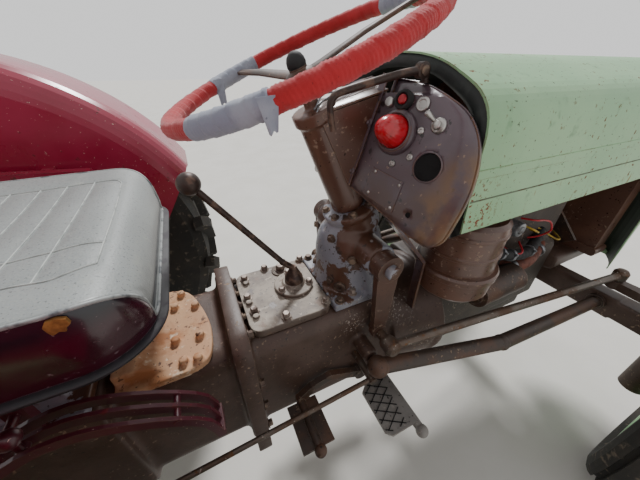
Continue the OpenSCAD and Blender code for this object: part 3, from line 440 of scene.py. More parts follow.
def mint_paint(name, is_hood):
    """Pale green with rust spots, and on the hood with rusty corners and painted shade, with some grime, on
    its inside.
    """
    f = Finish(name, "#98c596", 0.42)
    f.spots(4, 0.40, 0.62, "#a6cfa1", 0.46, detail=5.0)
    f.spots(26, 0.60, 0.72, "#86b185", 0.5, detail=6.0)
    low = f.step(f.axis(2), 1.10, 0.99)
    f.spots(75, 0.61, 0.69, "#9d8d5d", 0.75, low, detail=6.0, stretch=(1, 1, 0.3))
    f.spots(75, 0.63, 0.68, "#7a4a2c", 0.8, f.mask(5, 0.40, 0.55), detail=5.0)
    f.spots(170, 0.665, 0.70, "#4f5a44", 0.7)
    f.spots(25, 0.42, 0.56, "#7d5233", 0.8, f.edges(3))
    if is_hood:
        corner = f.either(f.near(1000, -228, 1020, 55, 35), f.near(1000, 228, 1020, 55, 35))
        f.spots(120, 0.57, 0.60, "#84432c", 0.8, corner, detail=8.0)
        # Painted shade with some grime: faces looking down or inwards are painted dark.
        f.paint(f.looking_in(), "#2c312a", 0.7)
    f.grain(9, 2.0, 1.0)
    return f.done()


def red_paint(name, base, tint, chip, rough):
    """Glossy red with dull patches, chips with pale borders, and rubbed edges."""
    f = Finish(name, base, rough, Coat_weight=0.35, Coat_roughness=0.22)
    f.spots(5, 0.38, 0.62, tint, rough + 0.1, detail=5.0)
    f.spots(40, 0.64, 0.70, "#6a1820", 0.6, detail=5.0)
    spot = f.noise(13, 6.0, 0.7)
    f.paint(f.step(spot, 0.655, 0.665), "#c9a69c", 0.6)
    f.paint(f.step(spot, 0.668, 0.676), chip, 0.7)
    f.spots(160, 0.68, 0.72, "#d8b7ad", 0.7)
    f.spots(30, 0.42, 0.56, "#5b3a30", 0.7, f.edges(3))
    f.grain(8, 2.0, 1.0)
    f.grain(200, 2.0, 0.05)
    return f.done()


def vinyl():
    """Black vinyl under a pale bloom of dust and scuffs, and a painted sheen, wherever it looks up."""
    f = Finish("vinyl", "#1d1f27", 0.3, Coat_weight=0.2, Coat_roughness=0.25)
    up = f.facing_up(-0.05, 0.55)
    # Painted sheen as well as dust: every face that looks up is painted pale grey over the black vinyl.
    f.paint(up, "#8d9291", 0.44)
    f.spots(5, 0.38, 0.62, "#989d9c", 0.5, up)
    f.spots(28, 0.58, 0.72, "#9da09b", 0.6, up, detail=6.0)
    f.spots(420, 0.54, 0.66, "#9a9d98", 0.6, up, detail=2.0)
    f.spots(300, 0.60, 0.70, "#6c7070", 0.45, up, detail=2.0)
    f.lift(f.cells(330), 0.2)
    f.grain(60, 3.0, 0.25)
    return f.done()


def shell_paint():
    """The seat's side: blue black under the cover's edge, deep maroon below, and a painted shade darkening
    its foot above the lip.
    """
    f = Finish("seat_side", "#380a1c", 0.26, Coat_weight=0.5, Coat_roughness=0.12)
    f.spots(6, 0.40, 0.62, "#430f22", 0.32)
    f.paint(f.step(f.axis(2), 1.0, 1.026), "#14151f", 0.3)
    # Painted shade: darker at the very foot of the side, under the bulge.
    f.paint(f.step(f.axis(2), 0.954, 0.950), "#2a1220", 0.4)
    f.spots(140, 0.66, 0.70, "#6c5a60", 0.7)
    f.spots(40, 0.40, 0.55, "#8d7f88", 0.5, f.edges(2))
    f.grain(40, 2.0, 0.2)
    return f.done()


def cloth(name, base, light, dark, dark_from):
    spots = ((24, 0.40, 0.64, light, 0.92, 5.0), (260, dark_from, dark_from + 0.1, dark, 0.9, 4.0))
    return layered(name, base, 0.88, spots, ((900, 1.0, 0.25), (140, 3.0, 0.4)),
                   Sheen_weight=0.35, Sheen_roughness=0.5)


def plain(name, base, dark, rough, metal=0.0):
    """A small part's finish: one colour with wear and a fine grain."""
    wear = (45, 0.48, 0.64, dark, min(1.0, rough + 0.15), 5.0)
    return layered(name, base, rough, [wear], [(320, 2.0, 0.1)], Metallic=metal)


case_paint = chipped_case()
hatch_rust = rusty_hatch()
# Base darkened as painted shade: the block sits in shade under the hood.
engine_shaded = worn("engine_shaded", "#3d332d", "#51463f", "#8a7d70", "#1e1714", "#6f635b").done()
brown_paint = worn("brown_paint", "#5f4236", "#6c4b3c", "#957d6b", "#33241f", "#94785f", rough=0.34,
                   grain=0.06, Coat_weight=0.3, Coat_roughness=0.2).done()
dark_steel = worn("dark_steel", "#43362f", "#5d4233", "#8c7864", "#211917", "#94887a", rough=0.5,
                  grain=0.15).done()
arm_brown = worn("arm_brown", "#5b3d30", "#50382d", "#94806f", "#2c1f1a", "#8f7766", rough=0.38,
                 grain=0.12).done()
grey_casting = two_tone_casting("grey_casting", ())
box_paint = two_tone_casting("box_paint", [(885, y, z, r) for y in (-78, 78) for z, r in
                                          ((905, 46), (950, 40), (890, 40))])
cover_paint = cover_beige()
pad_finish = foot_pads()
dash_paint = dash_gloss()
mint = mint_paint("mint_paint", False)
hood_mint = mint_paint("hood_mint", True)
red = red_paint("red_paint", "#9c1a3a", "#a82446", "#3e3a3c", 0.26)
maroon = red_paint("maroon_paint", "#451420", "#541a28", "#2b2224", 0.36)
seat_vinyl = vinyl()
seat_side = shell_paint()
red_cloth = cloth("red_cloth", "#b8262a", "#c83338", "#8e1d1f", 0.64)
grey_tape = cloth("grey_tape", "#959cad", "#a9afbc", "#787e8c", 0.68)
steel = layered("bare_steel", "#6b625a", 0.42, (
    (9, 0.42, 0.60, "#5c4638", 0.62, 6.0),
    (60, 0.60, 0.68, "#7d5a40", 0.8, 5.0),
    (150, 0.64, 0.70, "#b5aca0", 0.4, 4.0),
), [(260, 3.0, 0.12)], Metallic=0.55)
rubber = layered("tyre_rubber", "#262523", 0.8, (
    (8, 0.40, 0.62, "#3a3631", 0.9, 6.0),
    (50, 0.56, 0.70, "#6b6154", 0.95, 6.0),
), ((70, 4.0, 1.0), (400, 2.0, 0.2)))
lamp_lens = layered("lamp_red", "#bd0c1c", 0.2, (
    (30, 0.42, 0.62, "#d52030", 0.26, 3.0),
    (120, 0.62, 0.70, "#8a1216", 0.5, 4.0),
), [(80, 2.0, 0.2)], Coat_weight=0.5, Coat_roughness=0.1)
button_red = plain("button_red", "#c0202e", "#8e1822", 0.3)
seam_dark = plain("seam_dark", "#6b7660", "#5b4a38", 0.7)
bolt_steel = plain("bolt_steel", "#5a4a41", "#8a7664", 0.5, 0.35)
bolt_pale = plain("bolt_pale", "#93867c", "#5e4e45", 0.45, 0.3)
black_rubber = plain("black_rubber", "#1c1c1d", "#323130", 0.7)
# Pale for wear and a painted highlight on the seat's welded lines.
pale_seam = plain("pale_seam", "#b9bdb9", "#9a9f9c", 0.5)
# Pale for wear and a painted highlight: the seat's piping itself is dark vinyl.
piping = plain("piping", "#a0a4a3", "#5a5e62", 0.4)
foam = plain("foam", "#a8763c", "#7d5228", 0.9)
# Painted shade: near black on the seat's maroon lip, which lies in shade under the bulging side.
lip_painted_shade = plain("lip_painted_shade", "#17151a", "#2c262d", 0.5)
bright_steel = plain("bright_steel", "#b9b6b2", "#857e78", 0.28, 0.8)
red_wire = plain("red_wire", "#c4222f", "#9a1c26", 0.35)
yellow_wire = plain("yellow_wire", "#c9a83a", "#8c7430", 0.5)
# Painted shade: near black for the inside of holes and grooves.
recess_shade = plain("recess_shade", "#0d0c0d", "#131112", 0.9)
tin = plain("tin", "#8f9296", "#5f5d5c", 0.35, 0.6)
oxide = plain("oxide", "#7a4434", "#5c362c", 0.6)
seal_rubber = plain("seal_rubber", "#262d2b", "#39403d", 0.55)
lever_steel = plain("lever_steel", "#3a2c26", "#6d574a", 0.45, 0.3)

FINISHES = {
    case_paint: "rear_case gearbox_case axle_tubes front_axle_beam front_support drawbar"
                " knuckle_left knuckle_right",
    hatch_rust: "hatch_cover",
    grey_casting: "lift_cover",
    box_paint: "steering_box",
    arm_brown: "drop_arm_left drop_arm_right",
    pad_finish: "footrests",
    cover_paint: "gearbox_cover",
    engine_shaded: "engine_block",
    brown_paint: "steering_column air_cleaner radiator fuel_tank",
    dark_steel: "starter manifold fan pedals radius_rods seat_spring lower_link_left"
                " lower_link_right lift_rod_left lift_rod_right lift_arms",
    dash_paint: "dash_panel",
    hood_mint: "hood",
    mint: "grille rear_rim_left rear_rim_right front_rim_left front_rim_right",
    red: "fender_left fender_right fender_rails",
    maroon: "seat_pan quadrant",
    seat_vinyl: "seat_cushion",
    red_cloth: "steering_rim",
    steel: "drag_link_left drag_link_right throttle_lever brake_rods steering_spokes",
    lever_steel: "gear_lever",
    rubber: "rear_tyre_left rear_tyre_right front_tyre_left front_tyre_right",
    lamp_lens: "dash_lamp",
}


def dress_nodes():
    """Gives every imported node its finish."""
    for material, names in FINISHES.items():
        for name in names.split():
            data = nodes[name].data
            data.materials.clear()
            data.materials.append(material)


def cast(name, voxel, rounds):
    """Rounds a casting's edges and corners."""
    grid = nodes[name].modifiers.new("Remesh", "REMESH")
    grid.mode = "VOXEL"
    grid.voxel_size = voxel / 1000
    grid.use_smooth_shade = True
    soft = nodes[name].modifiers.new("Smooth", "SMOOTH")
    soft.iterations = rounds
    soft.factor = 0.5


WHEEL = Matrix.Translation((780, 0, 1240)) @ COLUMN_LEAN
RIM_R = 220
GREY_ARCS = ((350, 373), (93, 124), (211, 241))


def wheel_point(angle, r, z=0.0):
    a = math.radians(angle)
    return WHEEL @ Vector((r * math.cos(a), r * math.sin(a), z))


def wrapped_rim():
    """Cloth wound round the rim in overlapping turns, with three sleeves of grey tape."""
    shape = Shape()
    steps = 1300
    sides = 18
    rings = []
    slots = []
    for i in range(steps):
        angle = 360 * i / steps
        a = math.radians(angle)
        grey = any(low <= angle <= high or low <= angle + 360 <= high for low, high in GREY_ARCS)
        pitch, crumple, sleeve = (21, 0.15, 1.4) if grey else (26, 0.42, 0)
        ring = []
        for k in range(sides):
            turn = 2 * math.pi * k / sides
            along = a * RIM_R + pitch * k / sides
            t = along / pitch % 1
            lap = 1.1 * (1 - t) if t > 0.1 else 11 * t
            fold = math.sin(2 * math.pi * along / 4.8 + 1.8 * math.sin(along / 23))
            rough = noise.noise(Vector((along / 16, 3 * math.cos(turn), 3 * math.sin(turn))))
            r = 12.6 + lap + crumple * fold + 0.8 * rough + sleeve
            out = RIM_R + r * math.cos(turn)
            ring.append(WHEEL @ Vector((out * math.cos(a), out * math.sin(a), r * math.sin(turn))))
        rings.append(ring)
        slots += [int(grey)] * sides
    shape.rings(rings, loop=True)
    shape.slots = slots
    rim = shape.make("rim_wrap", [red_cloth, grey_tape], "steering_wheel", smooth=50, slot="red_cloth")
    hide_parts("steering_rim")


def wheel_spokes():
    """Three tapered flat bars, the hub and the round knob on it."""
    shape = Shape()
    up = WHEEL.to_3x3() @ Vector((0, 0, 1))
    section = ((-1, -0.4), (-0.8, -1), (0.8, -1), (1, -0.4), (1, 0.4), (0.8, 1), (-0.8, 1), (-1, 0.4))
    thick = 3.2
    for angle in (105, 225, 345):
        way = (wheel_point(angle, 1) - wheel_point(angle, 0)).normalized()
        side = up.cross(way)
        rings = []
        for r, half, z in ((12, 15, -24), (40, 13.5, -21), (120, 10, -9), (212, 7.5, 0)):
            middle = wheel_point(angle, r, z)
            rings.append([middle + side * half * u + up * thick * v for u, v in section])
        shape.rings(rings)
    hub = [(-44, 24), (-40, 27), (-24, 27), (-20, 24), (-17, 17), (-16, 15.5), (-13, 15.5)]
    shape.turn(wheel_point(0, 0), up, hub, 36)
    knob = [(-14, 12), (-13, 15), (-9, 16.5), (-2, 15.5), (4, 12.5), (8, 8), (10, 3)]
    shape.turn(wheel_point(0, 0), up, knob, 32, 1)
    piece = shape.make("wheel_spokes", [dark_steel, black_rubber], "steering_wheel", smooth=40,
                       slot="bare_steel")
    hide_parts("steering_spokes")


def tape_end(name, corners):
    """A loose end of grey tape that hangs off the rim, drawn between its four corners."""
    top_a, top_b, low_b, low_a = [Vector(c) for c in corners]
    out = (low_a - top_a).cross(top_b - top_a).normalized()
    rows = 12
    cols = 6
    curl = 2
    thick = 0.8
    front = []
    for i in range(rows + 1):
        t = i / rows
        for k in range(cols + 1):
            u = k / cols
            p = top_a.lerp(low_a, t).lerp(top_b.lerp(low_b, t), u)
            p += out * (curl * math.sin(2.4 * t) + 1.5 * t * math.sin(6 * u))
            p.z -= 1.8 * t * math.sin(9 * u)
            front.append(p)
    shape = Shape()
    shape.add(front + [p + out * thick for p in front], two_layers(rows, cols, False)[0])
    flap = shape.make(name, [grey_tape], "steering_wheel", smooth=60, slot="red_cloth")


SEAT_X0 = 134
SEAT_X1 = 508
SEAT_W = 231
SEAT_R = 76
SEAT_FLOOR = 951
SEAT_TOP = 1040
ROLL_X = 430
ROLL_END = SEAT_X1 - 3
SEAMS = (
    [(459, 140), (463, 60), (465, -20), (466, -149)],
    [(466, -149), (432, -168), (412, -166), (382, -162), (300, -160), (170, -158)],
    [(459, 140), (446, 156), (409, 160), (353, 160), (304, 160), (200, 158)],
    [(412, 160), (412, 0), (412, -166)],
    [(368, 160), (368, 0), (368, -161)],
    [(328, 160), (328, 0), (328, -160)],
    [(285, 160), (285, 0), (285, -160)],
    [(243, 159), (243, 0), (243, -159)],
    [(464, -99), (368, -101), (240, -104)],
)
SEAM_HOLD = 3.2
PUFF_FRAMES = 20
PUFF_LIMIT = 0.003


def seat_edge(x):
    """The height of the cover's edge: level, then rolling down to the front."""
    u = min(1.0, max(0.0, (x - ROLL_X) / (ROLL_END - ROLL_X)))
    return SEAT_FLOOR + 6 + (SEAT_TOP - SEAT_FLOOR - 6) * (1 - u ** 3) ** (1 / 3)


def seat_loop():
    """Points of the seat's plan with their outward directions."""
    loop = []
    for x, y, c, s in rounded((SEAT_X0, -SEAT_W), (SEAT_X1, SEAT_W), SEAT_R, 18):
        way = Vector((c, s, 0))
        loop.append((Vector((x, y, 0)) + way * SEAT_R, way))
    return loop


def seat_shell():
    """The seat's bulging side, from the cover's edge down to a flat lip, with its floor."""
    loop = seat_loop()

    def flat(out, z):
        return [p + way * out + Vector((0, 0, z)) for p, way in loop]

    def side(out, t):
        ring = []
        for p, way in loop:
            height = seat_edge(p.x) - 1.5 - SEAT_FLOOR - 1
            reach = out * min(1.0, height / 50)
            ring.append(p + way * reach + Vector((0, 0, SEAT_FLOOR + 1 + height * (1 - t))))
        return ring

    bulge = ((-9, 0), (-1, 0), (1, 0.05), (3.4, 0.18), (5.2, 0.36), (5.6, 0.52), (4.6, 0.7), (2.4, 0.87),
             (0.6, 0.97))
    lip = ((1, 0), (10, -0.5), (11.5, -2), (11, -5), (9, -6), (-40, -6))
    rings = [flat(-9, SEAT_FLOOR + 2)] + [side(out, t) for out, t in bulge]
    rings += [flat(out, SEAT_FLOOR + rise) for out, rise in lip]
    shape = Shape()
    shape.rings(rings)
    # The lip's faces take the near-black painted shade material.
    shape.slots = [int(all(shape.points[v].z < SEAT_FLOOR + 0.5 for v in face)) for face in shape.faces]
    shell = shape.make("seat_shell", [seat_side, lip_painted_shade], smooth=50, slot="maroon_paint")
    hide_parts("seat_pan")
    trim = Shape()
    edge = [p + way * 0.4 + Vector((0, 0, seat_edge(p.x) - 1.2)) for p, way in loop]
    # The pale piping along the cover's edge stands for wear and a painted highlight.
    trim.tube(edge, 2.3, 10, loop=True)
    trim.make("seat_piping", [piping], smooth=60, slot="seat_cover")
    torn = Shape()
    patch = [(437, 1029), (441, 1035), (449, 1036), (456, 1033), (457, 1026), (452, 1022), (451, 1018),
             (446, 1020), (440, 1017), (438, 1023)]
    torn.slab(patch, SEAT_W - 1, SEAT_W + 3.6, UPRIGHT)
    torn.make("torn_patch", [foam], bevel=0.8, slot="seat_cover")


def cushion():
    """The padded cover: a crowned sheet over the pan's mouth, puffed up between its pressed lines."""
    middle = (SEAT_X0 + SEAT_X1) / 2
    flat = (SEAT_X1 - SEAT_X0) / 2 - SEAT_R
    xs = [middle - flat - SEAT_R * math.cos(math.radians(7.5 * k)) for k in range(12)]
    xs += [middle - flat + 2 * flat * k / 36 - 0.5 for k in range(37)]
    xs += [ROLL_X + (ROLL_END - ROLL_X) * math.sin(math.radians(90 * k / 22)) ** (2 / 3)
           for k in range(1, 23)]
    xs.append(SEAT_X1)
    cols = 74
    top = []
    low = []
    for x in xs:
        d = max(0.0, abs(x - middle) - flat)
        reach = SEAT_W - SEAT_R + math.sqrt(max(0.0, SEAT_R ** 2 - d * d))
        edge = seat_edge(x)
        length = math.sin(math.pi * min(1.0, max(0.0, (x - SEAT_X0) / 300)))
        for k in range(cols + 1):
            v = 2 * k / cols - 1
            dish = 9 * (1 - v * v) ** 1.3 * length ** 0.6
            top.append((x, reach * v, edge - dish))
            low.append((middle + (x - middle) * 0.955, reach * v * 0.96, min(958, edge - 5)))
    faces, border = two_layers(len(xs) - 1, cols, True)
    rim = set(border)
    shape = Shape()
    shape.add(top + low, faces)
    pad = shape.make("seat_pad", [seat_vinyl], smooth=70, slot="seat_cover")
    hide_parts("seat_cushion")
    paths = [[Vector(p) for p in seam] for seam in SEAMS]
    near = [min(distance_to_path(Vector(p[:2]), path) for path in paths) for p in top]
    held = rim | {i for i, d in enumerate(near) if d < SEAM_HOLD}
    puff(pad, sorted(held) + list(range(len(top), 2 * len(top))))
    for i, d in enumerate(near):
        if i not in rim:
            groove = 1.3 * math.exp(-(d / 4) ** 2) + 1.2 * math.exp(-(d / 14) ** 2)
            pad.data.vertices[i].co.z -= groove / 1000
    crease = pad.data.attributes.new("crease_edge", "FLOAT", "EDGE")
    for edge in pad.data.edges:
        if edge.vertices[0] in rim and edge.vertices[1] in rim:
            crease.data[edge.index].value = 0.85
    finer = pad.modifiers.new("Subdivision", "SUBSURF")
    finer.levels = 1
    finer.render_levels = 1
    return pad


def puff(pad, pinned):
    """Blows the cover up between its pins, by the limit at most."""
    start = [v.co.copy() for v in pad.data.vertices]
    pins = pad.vertex_groups.new(name="pin")
    pins.add(pinned, 1.0, "REPLACE")
    air = pad.modifiers.new("Cloth", "CLOTH")
    air.settings.vertex_group_mass = "pin"
    air.settings.use_pressure = True
    air.settings.uniform_pressure_force = 4
    air.settings.effector_weights.gravity = 0
    air.point_cache.frame_start = 1
    air.point_cache.frame_end = PUFF_FRAMES
    for frame_number in range(1, PUFF_FRAMES + 1):
        bpy.context.scene.frame_set(frame_number)
    graph = bpy.context.evaluated_depsgraph_get()
    baked = bpy.data.meshes.new_from_object(pad.evaluated_get(graph))
    pad.modifiers.clear()
    pad.data = baked
    bpy.context.scene.frame_set(1)
    for v, was in zip(pad.data.vertices, start):
        move = v.co - was
        if move.length > PUFF_LIMIT:
            v.co = was + move * (PUFF_LIMIT / move.length)
    pad.vertex_groups.clear()


def distance_to_path(p, path):
    best = 1e9
    for a, b in zip(path, path[1:]):
        ab = b - a
        t = max(0.0, min(1.0, (p - a).dot(ab) / max(ab.length_squared, 1e-9)))
        best = min(best, (p - a - ab * t).length)
    return best


def seam_cords(pad):
    """The welded lines that lie in the grooves, pale for wear and a painted highlight."""
    graph = bpy.context.evaluated_depsgraph_get()
    graph.update()
    shape = Shape()
    for seam in SEAMS:
        path = curve_through([(x, y, 0) for x, y in seam], 12)
        laid = []
        for p in path:
            hit, where, _, _ = pad.ray_cast(at(p.x, p.y, 1200), Vector((0, 0, -1)))
            if hit:
                laid.append(((where.x - AXLE_X) * 1000, where.y * 1000, where.z * 1000 + 0.2))
        if len(laid) > 2:
            shape.tube(laid, 1.25, 6)
    shape.make("seat_seams", [pale_seam], slot="seat_cover")


DASH = (Matrix.Translation((873, -41, 1024)) @ Matrix.Rotation(math.radians(-90 + 16.7), 4, "Z")
        @ Matrix.Rotation(math.radians(90 - 18.5), 4, "X"))
FACE_OUT = DASH.to_3x3() @ Vector((0, 0, 1))
LAMP = (68, 114)
GAUGE = (143, 71, 23)
GAUGE_DEPTH = 30
SMALL_HOLE = (140, -12, 5)
SMALL_DEPTH = 9
CREASE = [(185, -45), (190, -6), (193, 77), (182, 111), (167, 147), (138, 176)]


def on_dash(u, v, h=0.0):
    return DASH @ Vector((u, v, h))


def ring_points(u, v, r, steps):
    return [Vector((u + r * c, v + r * s)) for c, s in circle(steps)]


def inside(p, loop):
    """Whether a flat point lies inside a closed loop."""
    odd = False
    for a, b in zip(loop, loop[1:] + loop[:1]):
        if (a.y > p.y) != (b.y > p.y) and p.x < a.x + (b.x - a.x) * (p.y - a.y) / (b.y - a.y):
            odd = not odd
    return odd


def dash_skin():
    """Both halves of the dash: a pressed sheet with a rolled rim, a crease and a deep skirt."""
    bend = curve_through([(168, -50, 0), (190, -50, 0), (206, -36, 0), (213, -5, 0), (217, 56, 0),
                          (205, 113, 0), (176, 154, 0), (132, 178, 0), (79, 197, 0), (20, 206, 0)], 5)
    corners = [Vector((0, 0))] + [Vector(p[:2]) for p in bend]
    loop = []
    for a, b in zip(corners, corners[1:] + corners[:1]):
        parts = max(1, int((b - a).length / 7))
        loop += [a.lerp(b, k / parts) for k in range(parts)]
    border = loop + loop[:1]
    holes = [ring_points(*GAUGE, 40), ring_points(*SMALL_HOLE, 16)]
    grid = []
    spacing = 7.3
    for i in range(-8, 32):
        for k in range(-8, 30):
            p = Vector((spacing * i + 3 * (k % 2), spacing * k))
            clear = min(distance_to_path(p, border) - 2,
                        min(distance_to_path(p, h + h[:1]) for h in holes))
            if clear > 2.5 and inside(p, loop):
                grid.append(p)
    rolled = []
    roll = 2.2
    for i, p in enumerate(loop):
        along = (loop[(i + 1) % len(loop)] - loop[i - 1]).normalized()
        rolled.append(p + Vector((-along.y, along.x)) * roll)
    flat_points = loop + rolled + holes[0] + holes[1] + grid
    edges = []
    first = 0
    for ring in (loop, rolled, *holes):
        n = len(ring)
        edges += [(first + k, first + (k + 1) % n) for k in range(n)]
        first += n
    points, _, faces, *_ = delaunay_2d_cdt(flat_points, edges, [], 0, 0.001)
    kept = []
    for face in faces:
        middle = sum((points[i] for i in face), Vector((0, 0))) / len(face)
        if inside(middle, loop) and not any(inside(middle, hole) for hole in holes):
            kept.append(list(face))
    pressed = [Vector(c) for c in CREASE]
    unbent = pressed + [Vector((-40, 176)), Vector((-40, -60))]
    slope = 0.22
    raised = []
    for p in points:
        h = -3.0 * (1 - min(1.0, distance_to_path(p, border) / 5)) ** 2
        if not inside(p, unbent):
            h -= slope * distance_to_path(p, pressed)
        raised.append((p.x, p.y, h))
    skirt = [min(raised, key=lambda q: (q[0] - p.x) ** 2 + (q[1] - p.y) ** 2) for p in loop]
    shape = Shape()
    for side in (1, -1):
        flip = Matrix.Scale(side, 4, (0, 1, 0)) @ DASH
        shape.add([flip @ Vector(p) for p in raised], kept)
        shape.rings([[flip @ Vector(p) for p in skirt],
                     [flip @ Vector((u, v, h - 4)) for u, v, h in skirt],
                     [flip @ Vector((u, v, -18)) for u, v, _ in skirt]], caps=False)
        for (u, v, r), deep in ((GAUGE, GAUGE_DEPTH), (SMALL_HOLE, SMALL_DEPTH)):
            # The cups are near black: painted shade inside the dash's holes.
            cup = [(-2.5, r + 0.6), (-6, r + 1), (-deep, r + 1), (-31, 0.5)]
            shape.turn(flip @ Vector((u, v, 0)), flip.to_3x3() @ Vector((0, 0, 1)), cup, 32, 1)
    strap = [(893, 1004), (902, 1008), (1046, 834), (1046, 677), (1040, 677), (1040, 830)]
    for low, high in ((104, 128), (-128, -104)):
        shape.slab(strap, low, high, UPRIGHT)
    skin = shape.make("dash_skin", [dash_paint, recess_shade], smooth=40, slot="brown_paint")
    thick = skin.modifiers.new("Solidify", "SOLIDIFY")
    thick.thickness = 0.0015
    thick.offset = -1
    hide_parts("dash_panel")


def dash_lens():
    """The red fluted lens."""
    rings = []
    profile = [(5, 28), (9, 28), (11, 27), (20, 26), (32, 22.5), (43, 17), (50, 11), (54, 4.5)]
    for along, r in profile:
        ring = []
        for k in range(96):
            t = 2 * math.pi * k / 96
            rr = r * (1 + (0.012 if along > 10 else 0) * math.cos(24 * t))
            ring.append(on_dash(LAMP[0] + rr * math.cos(t), LAMP[1] + rr * math.sin(t), along))
        rings.append(ring)
    shape = Shape()
    shape.rings(rings)
    lens = shape.make("lamp_lens", [lamp_lens], smooth=40, slot="lamp_red")
    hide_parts("dash_lamp")


def dash_fittings():
    """The lamp's base, screws, switches, the start button, the blank plate and the fold's strip."""
    shape = Shape()

    def disc(u, v, profile, steps=24, slot=0, way=FACE_OUT, caps=True):
        shape.turn(on_dash(u, v), way, profile, steps, slot, caps)

    disc(*LAMP, [(-1, 38), (4, 38), (8, 36.5), (10, 34), (10.5, 31.5), (9, 30), (5, 29.5)], 48)
    disc(*LAMP, [(6, 33), (12, 32.5), (13, 31), (13, 29.5), (8, 29)], 48)
    for u, v in ((112, 123), (108, 80), (79, 63)):
        disc(u, v, [(0, 6), (2, 6), (3.4, 4.4), (3.4, 2.4), (1.6, 2)], 18, 1)
    disc(101, 162, [(0, 11.5), (3.5, 11.5), (4.8, 10), (4.8, 7), (3, 6.6), (3, 1)], 28, 1)
    disc(139, 134, [(0, 12), (4, 12), (6, 10.5), (6, 7), (12, 6.5), (13, 4)], 20, 1)
    lean = DASH.to_3x3() @ Vector((-0.5, 0.42, 0.76))
    disc(139, 134, [(8, 3), (18, 3.6), (27, 5.2), (31, 4.6), (32.5, 2)], 16, 1, lean)
    rim = [(0, 16), (8, 16), (11, 14.5), (11.5, 11), (8, 9)]
    disc(66, 165, rim, 28, 2)
    disc(66, 165, [(6, 8), (11, 7.8), (13, 6), (13.4, 2)], 24, 3)
    disc(38, 160, [(0, 8.5), (5, 8.5), (7, 7), (7.4, 2)], 20, 1)
    shape.slab([(43, 49), (37, -4), (110, -18), (113, 38)], -0.5, 1.8, DASH)
    disc(*GAUGE[:2], [(-4, 22.4), (0.4, 22.6), (1, 23.4), (0.3, 25.5)], 40, caps=False)
    for u, v in ((49, 2), (104, -11), (107, 31), (51, 42)):
        disc(u, v, [(1.6, 3.2), (2.8, 3.2), (3.6, 1.6)], 10, 1)
    strip = [(-14, 8), (1, 2), (21, 203), (7, 206)]
    shape.slab(strip, 0.5, 3.2, DASH)
    for v in (30, 122):
        disc(-6 + 0.1 * v, v, [(3, 8), (5, 8), (6, 6.5), (6, 4), (9, 4), (10, 2)], 20)
    shape.make("dash_fittings", [dash_paint, bright_steel, black_rubber, button_red], bevel=0.5,
               slot="brown_paint")


def column_cowl():
    """The closed sheet cover between the column and the dash, with a seamed top."""
    side = [(812, 1146), (822, 1162), (940, 1190), (943, 1196), (878, 1026), (890, 990)]
    shape = Shape()
    shape.slab(side, -38.5, 38.5, UPRIGHT)
    top = [(814, 1160), (822, 1164.5), (941, 1193), (941, 1196), (821, 1167.5), (811, 1162)]
    shape.slab(top, -42, 42, UPRIGHT)
    ridge = [(-42, 0), (-38, 2.5), (-12, 6), (0, 7), (12, 6), (38, 2.5), (42, 0)]
    rings = []
    for x, z in ((818, 1164), (860, 1174), (900, 1184), (941, 1194)):
        rings.append([(x, y, z + h) for y, h in ridge] + [(x, y, z - 1) for y in (42, -42)])
    shape.rings(rings)
    shape.tube([(828, -20, 1171), (880, -16, 1184), (936, -14, 1198)], 1.1, 6)
    shape.make("column_cowl", [brown_paint], bevel=1.5, slot="brown_paint")
    wires = Shape()
    for path in (
        [(800, -30, 1168), (818, -22, 1178), (846, -12, 1184), (880, -2, 1192), (938, 6, 1204)],
        [(803, -34, 1160), (812, -30, 1176), (832, -24, 1186), (856, -4, 1188), (900, 8, 1196),
         (938, 12, 1204)],
        [(806, -20, 1166), (824, -10, 1186), (850, 4, 1190), (884, -10, 1192), (936, -6, 1203)],
    ):
        wires.tube(curve_through(path, 6), 1.6, 8)
    wires.make("cowl_wires", [tin], slot="bare_steel")


def throttle():
    """The hand throttle: a bent tube that ends in a bolted eye."""
    shape = Shape()
    bend = ((950, 1224), (915, 1219), (878, 1212), (830, 1202), (804, 1195), (795, 1183), (796, 1165),
            (800, 1146))
    path = curve_through([(x, -100, z) for x, z in bend], 8)
    shape.tube(path, [6.4 - 1.6 * k / len(path) for k in range(len(path))], 14)
    eye = (957, -100, 1224)
    shape.turn(eye, (0, -1, 0), [(-7, 10), (-6, 12), (6, 12), (7, 10)], 28)
    shape.turn(eye, (0, -1, 0), [(6, 7.5), (9, 7.5), (10, 6), (10, 3)], 20, 1)
    shape.turn((966, -100, 1207), (0, 0, 1), [(0, 8), (2, 8), (3, 6), (16, 6)], 20)
    lever = shape.make("throttle_tube", [lever_steel, bolt_steel], smooth=45, slot="bare_steel")
    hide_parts("throttle_lever")


HOOD_TOP = 1254
HOOD_HALF = 232
HOOD_REAR = 988
HOOD_KNOTS = [(0, 0), (60, 4), (110, 14), (158, 33), (193, 52), (214, 76), (223, 106), (224.5, 150),
              (227, 195), (232, 269)]


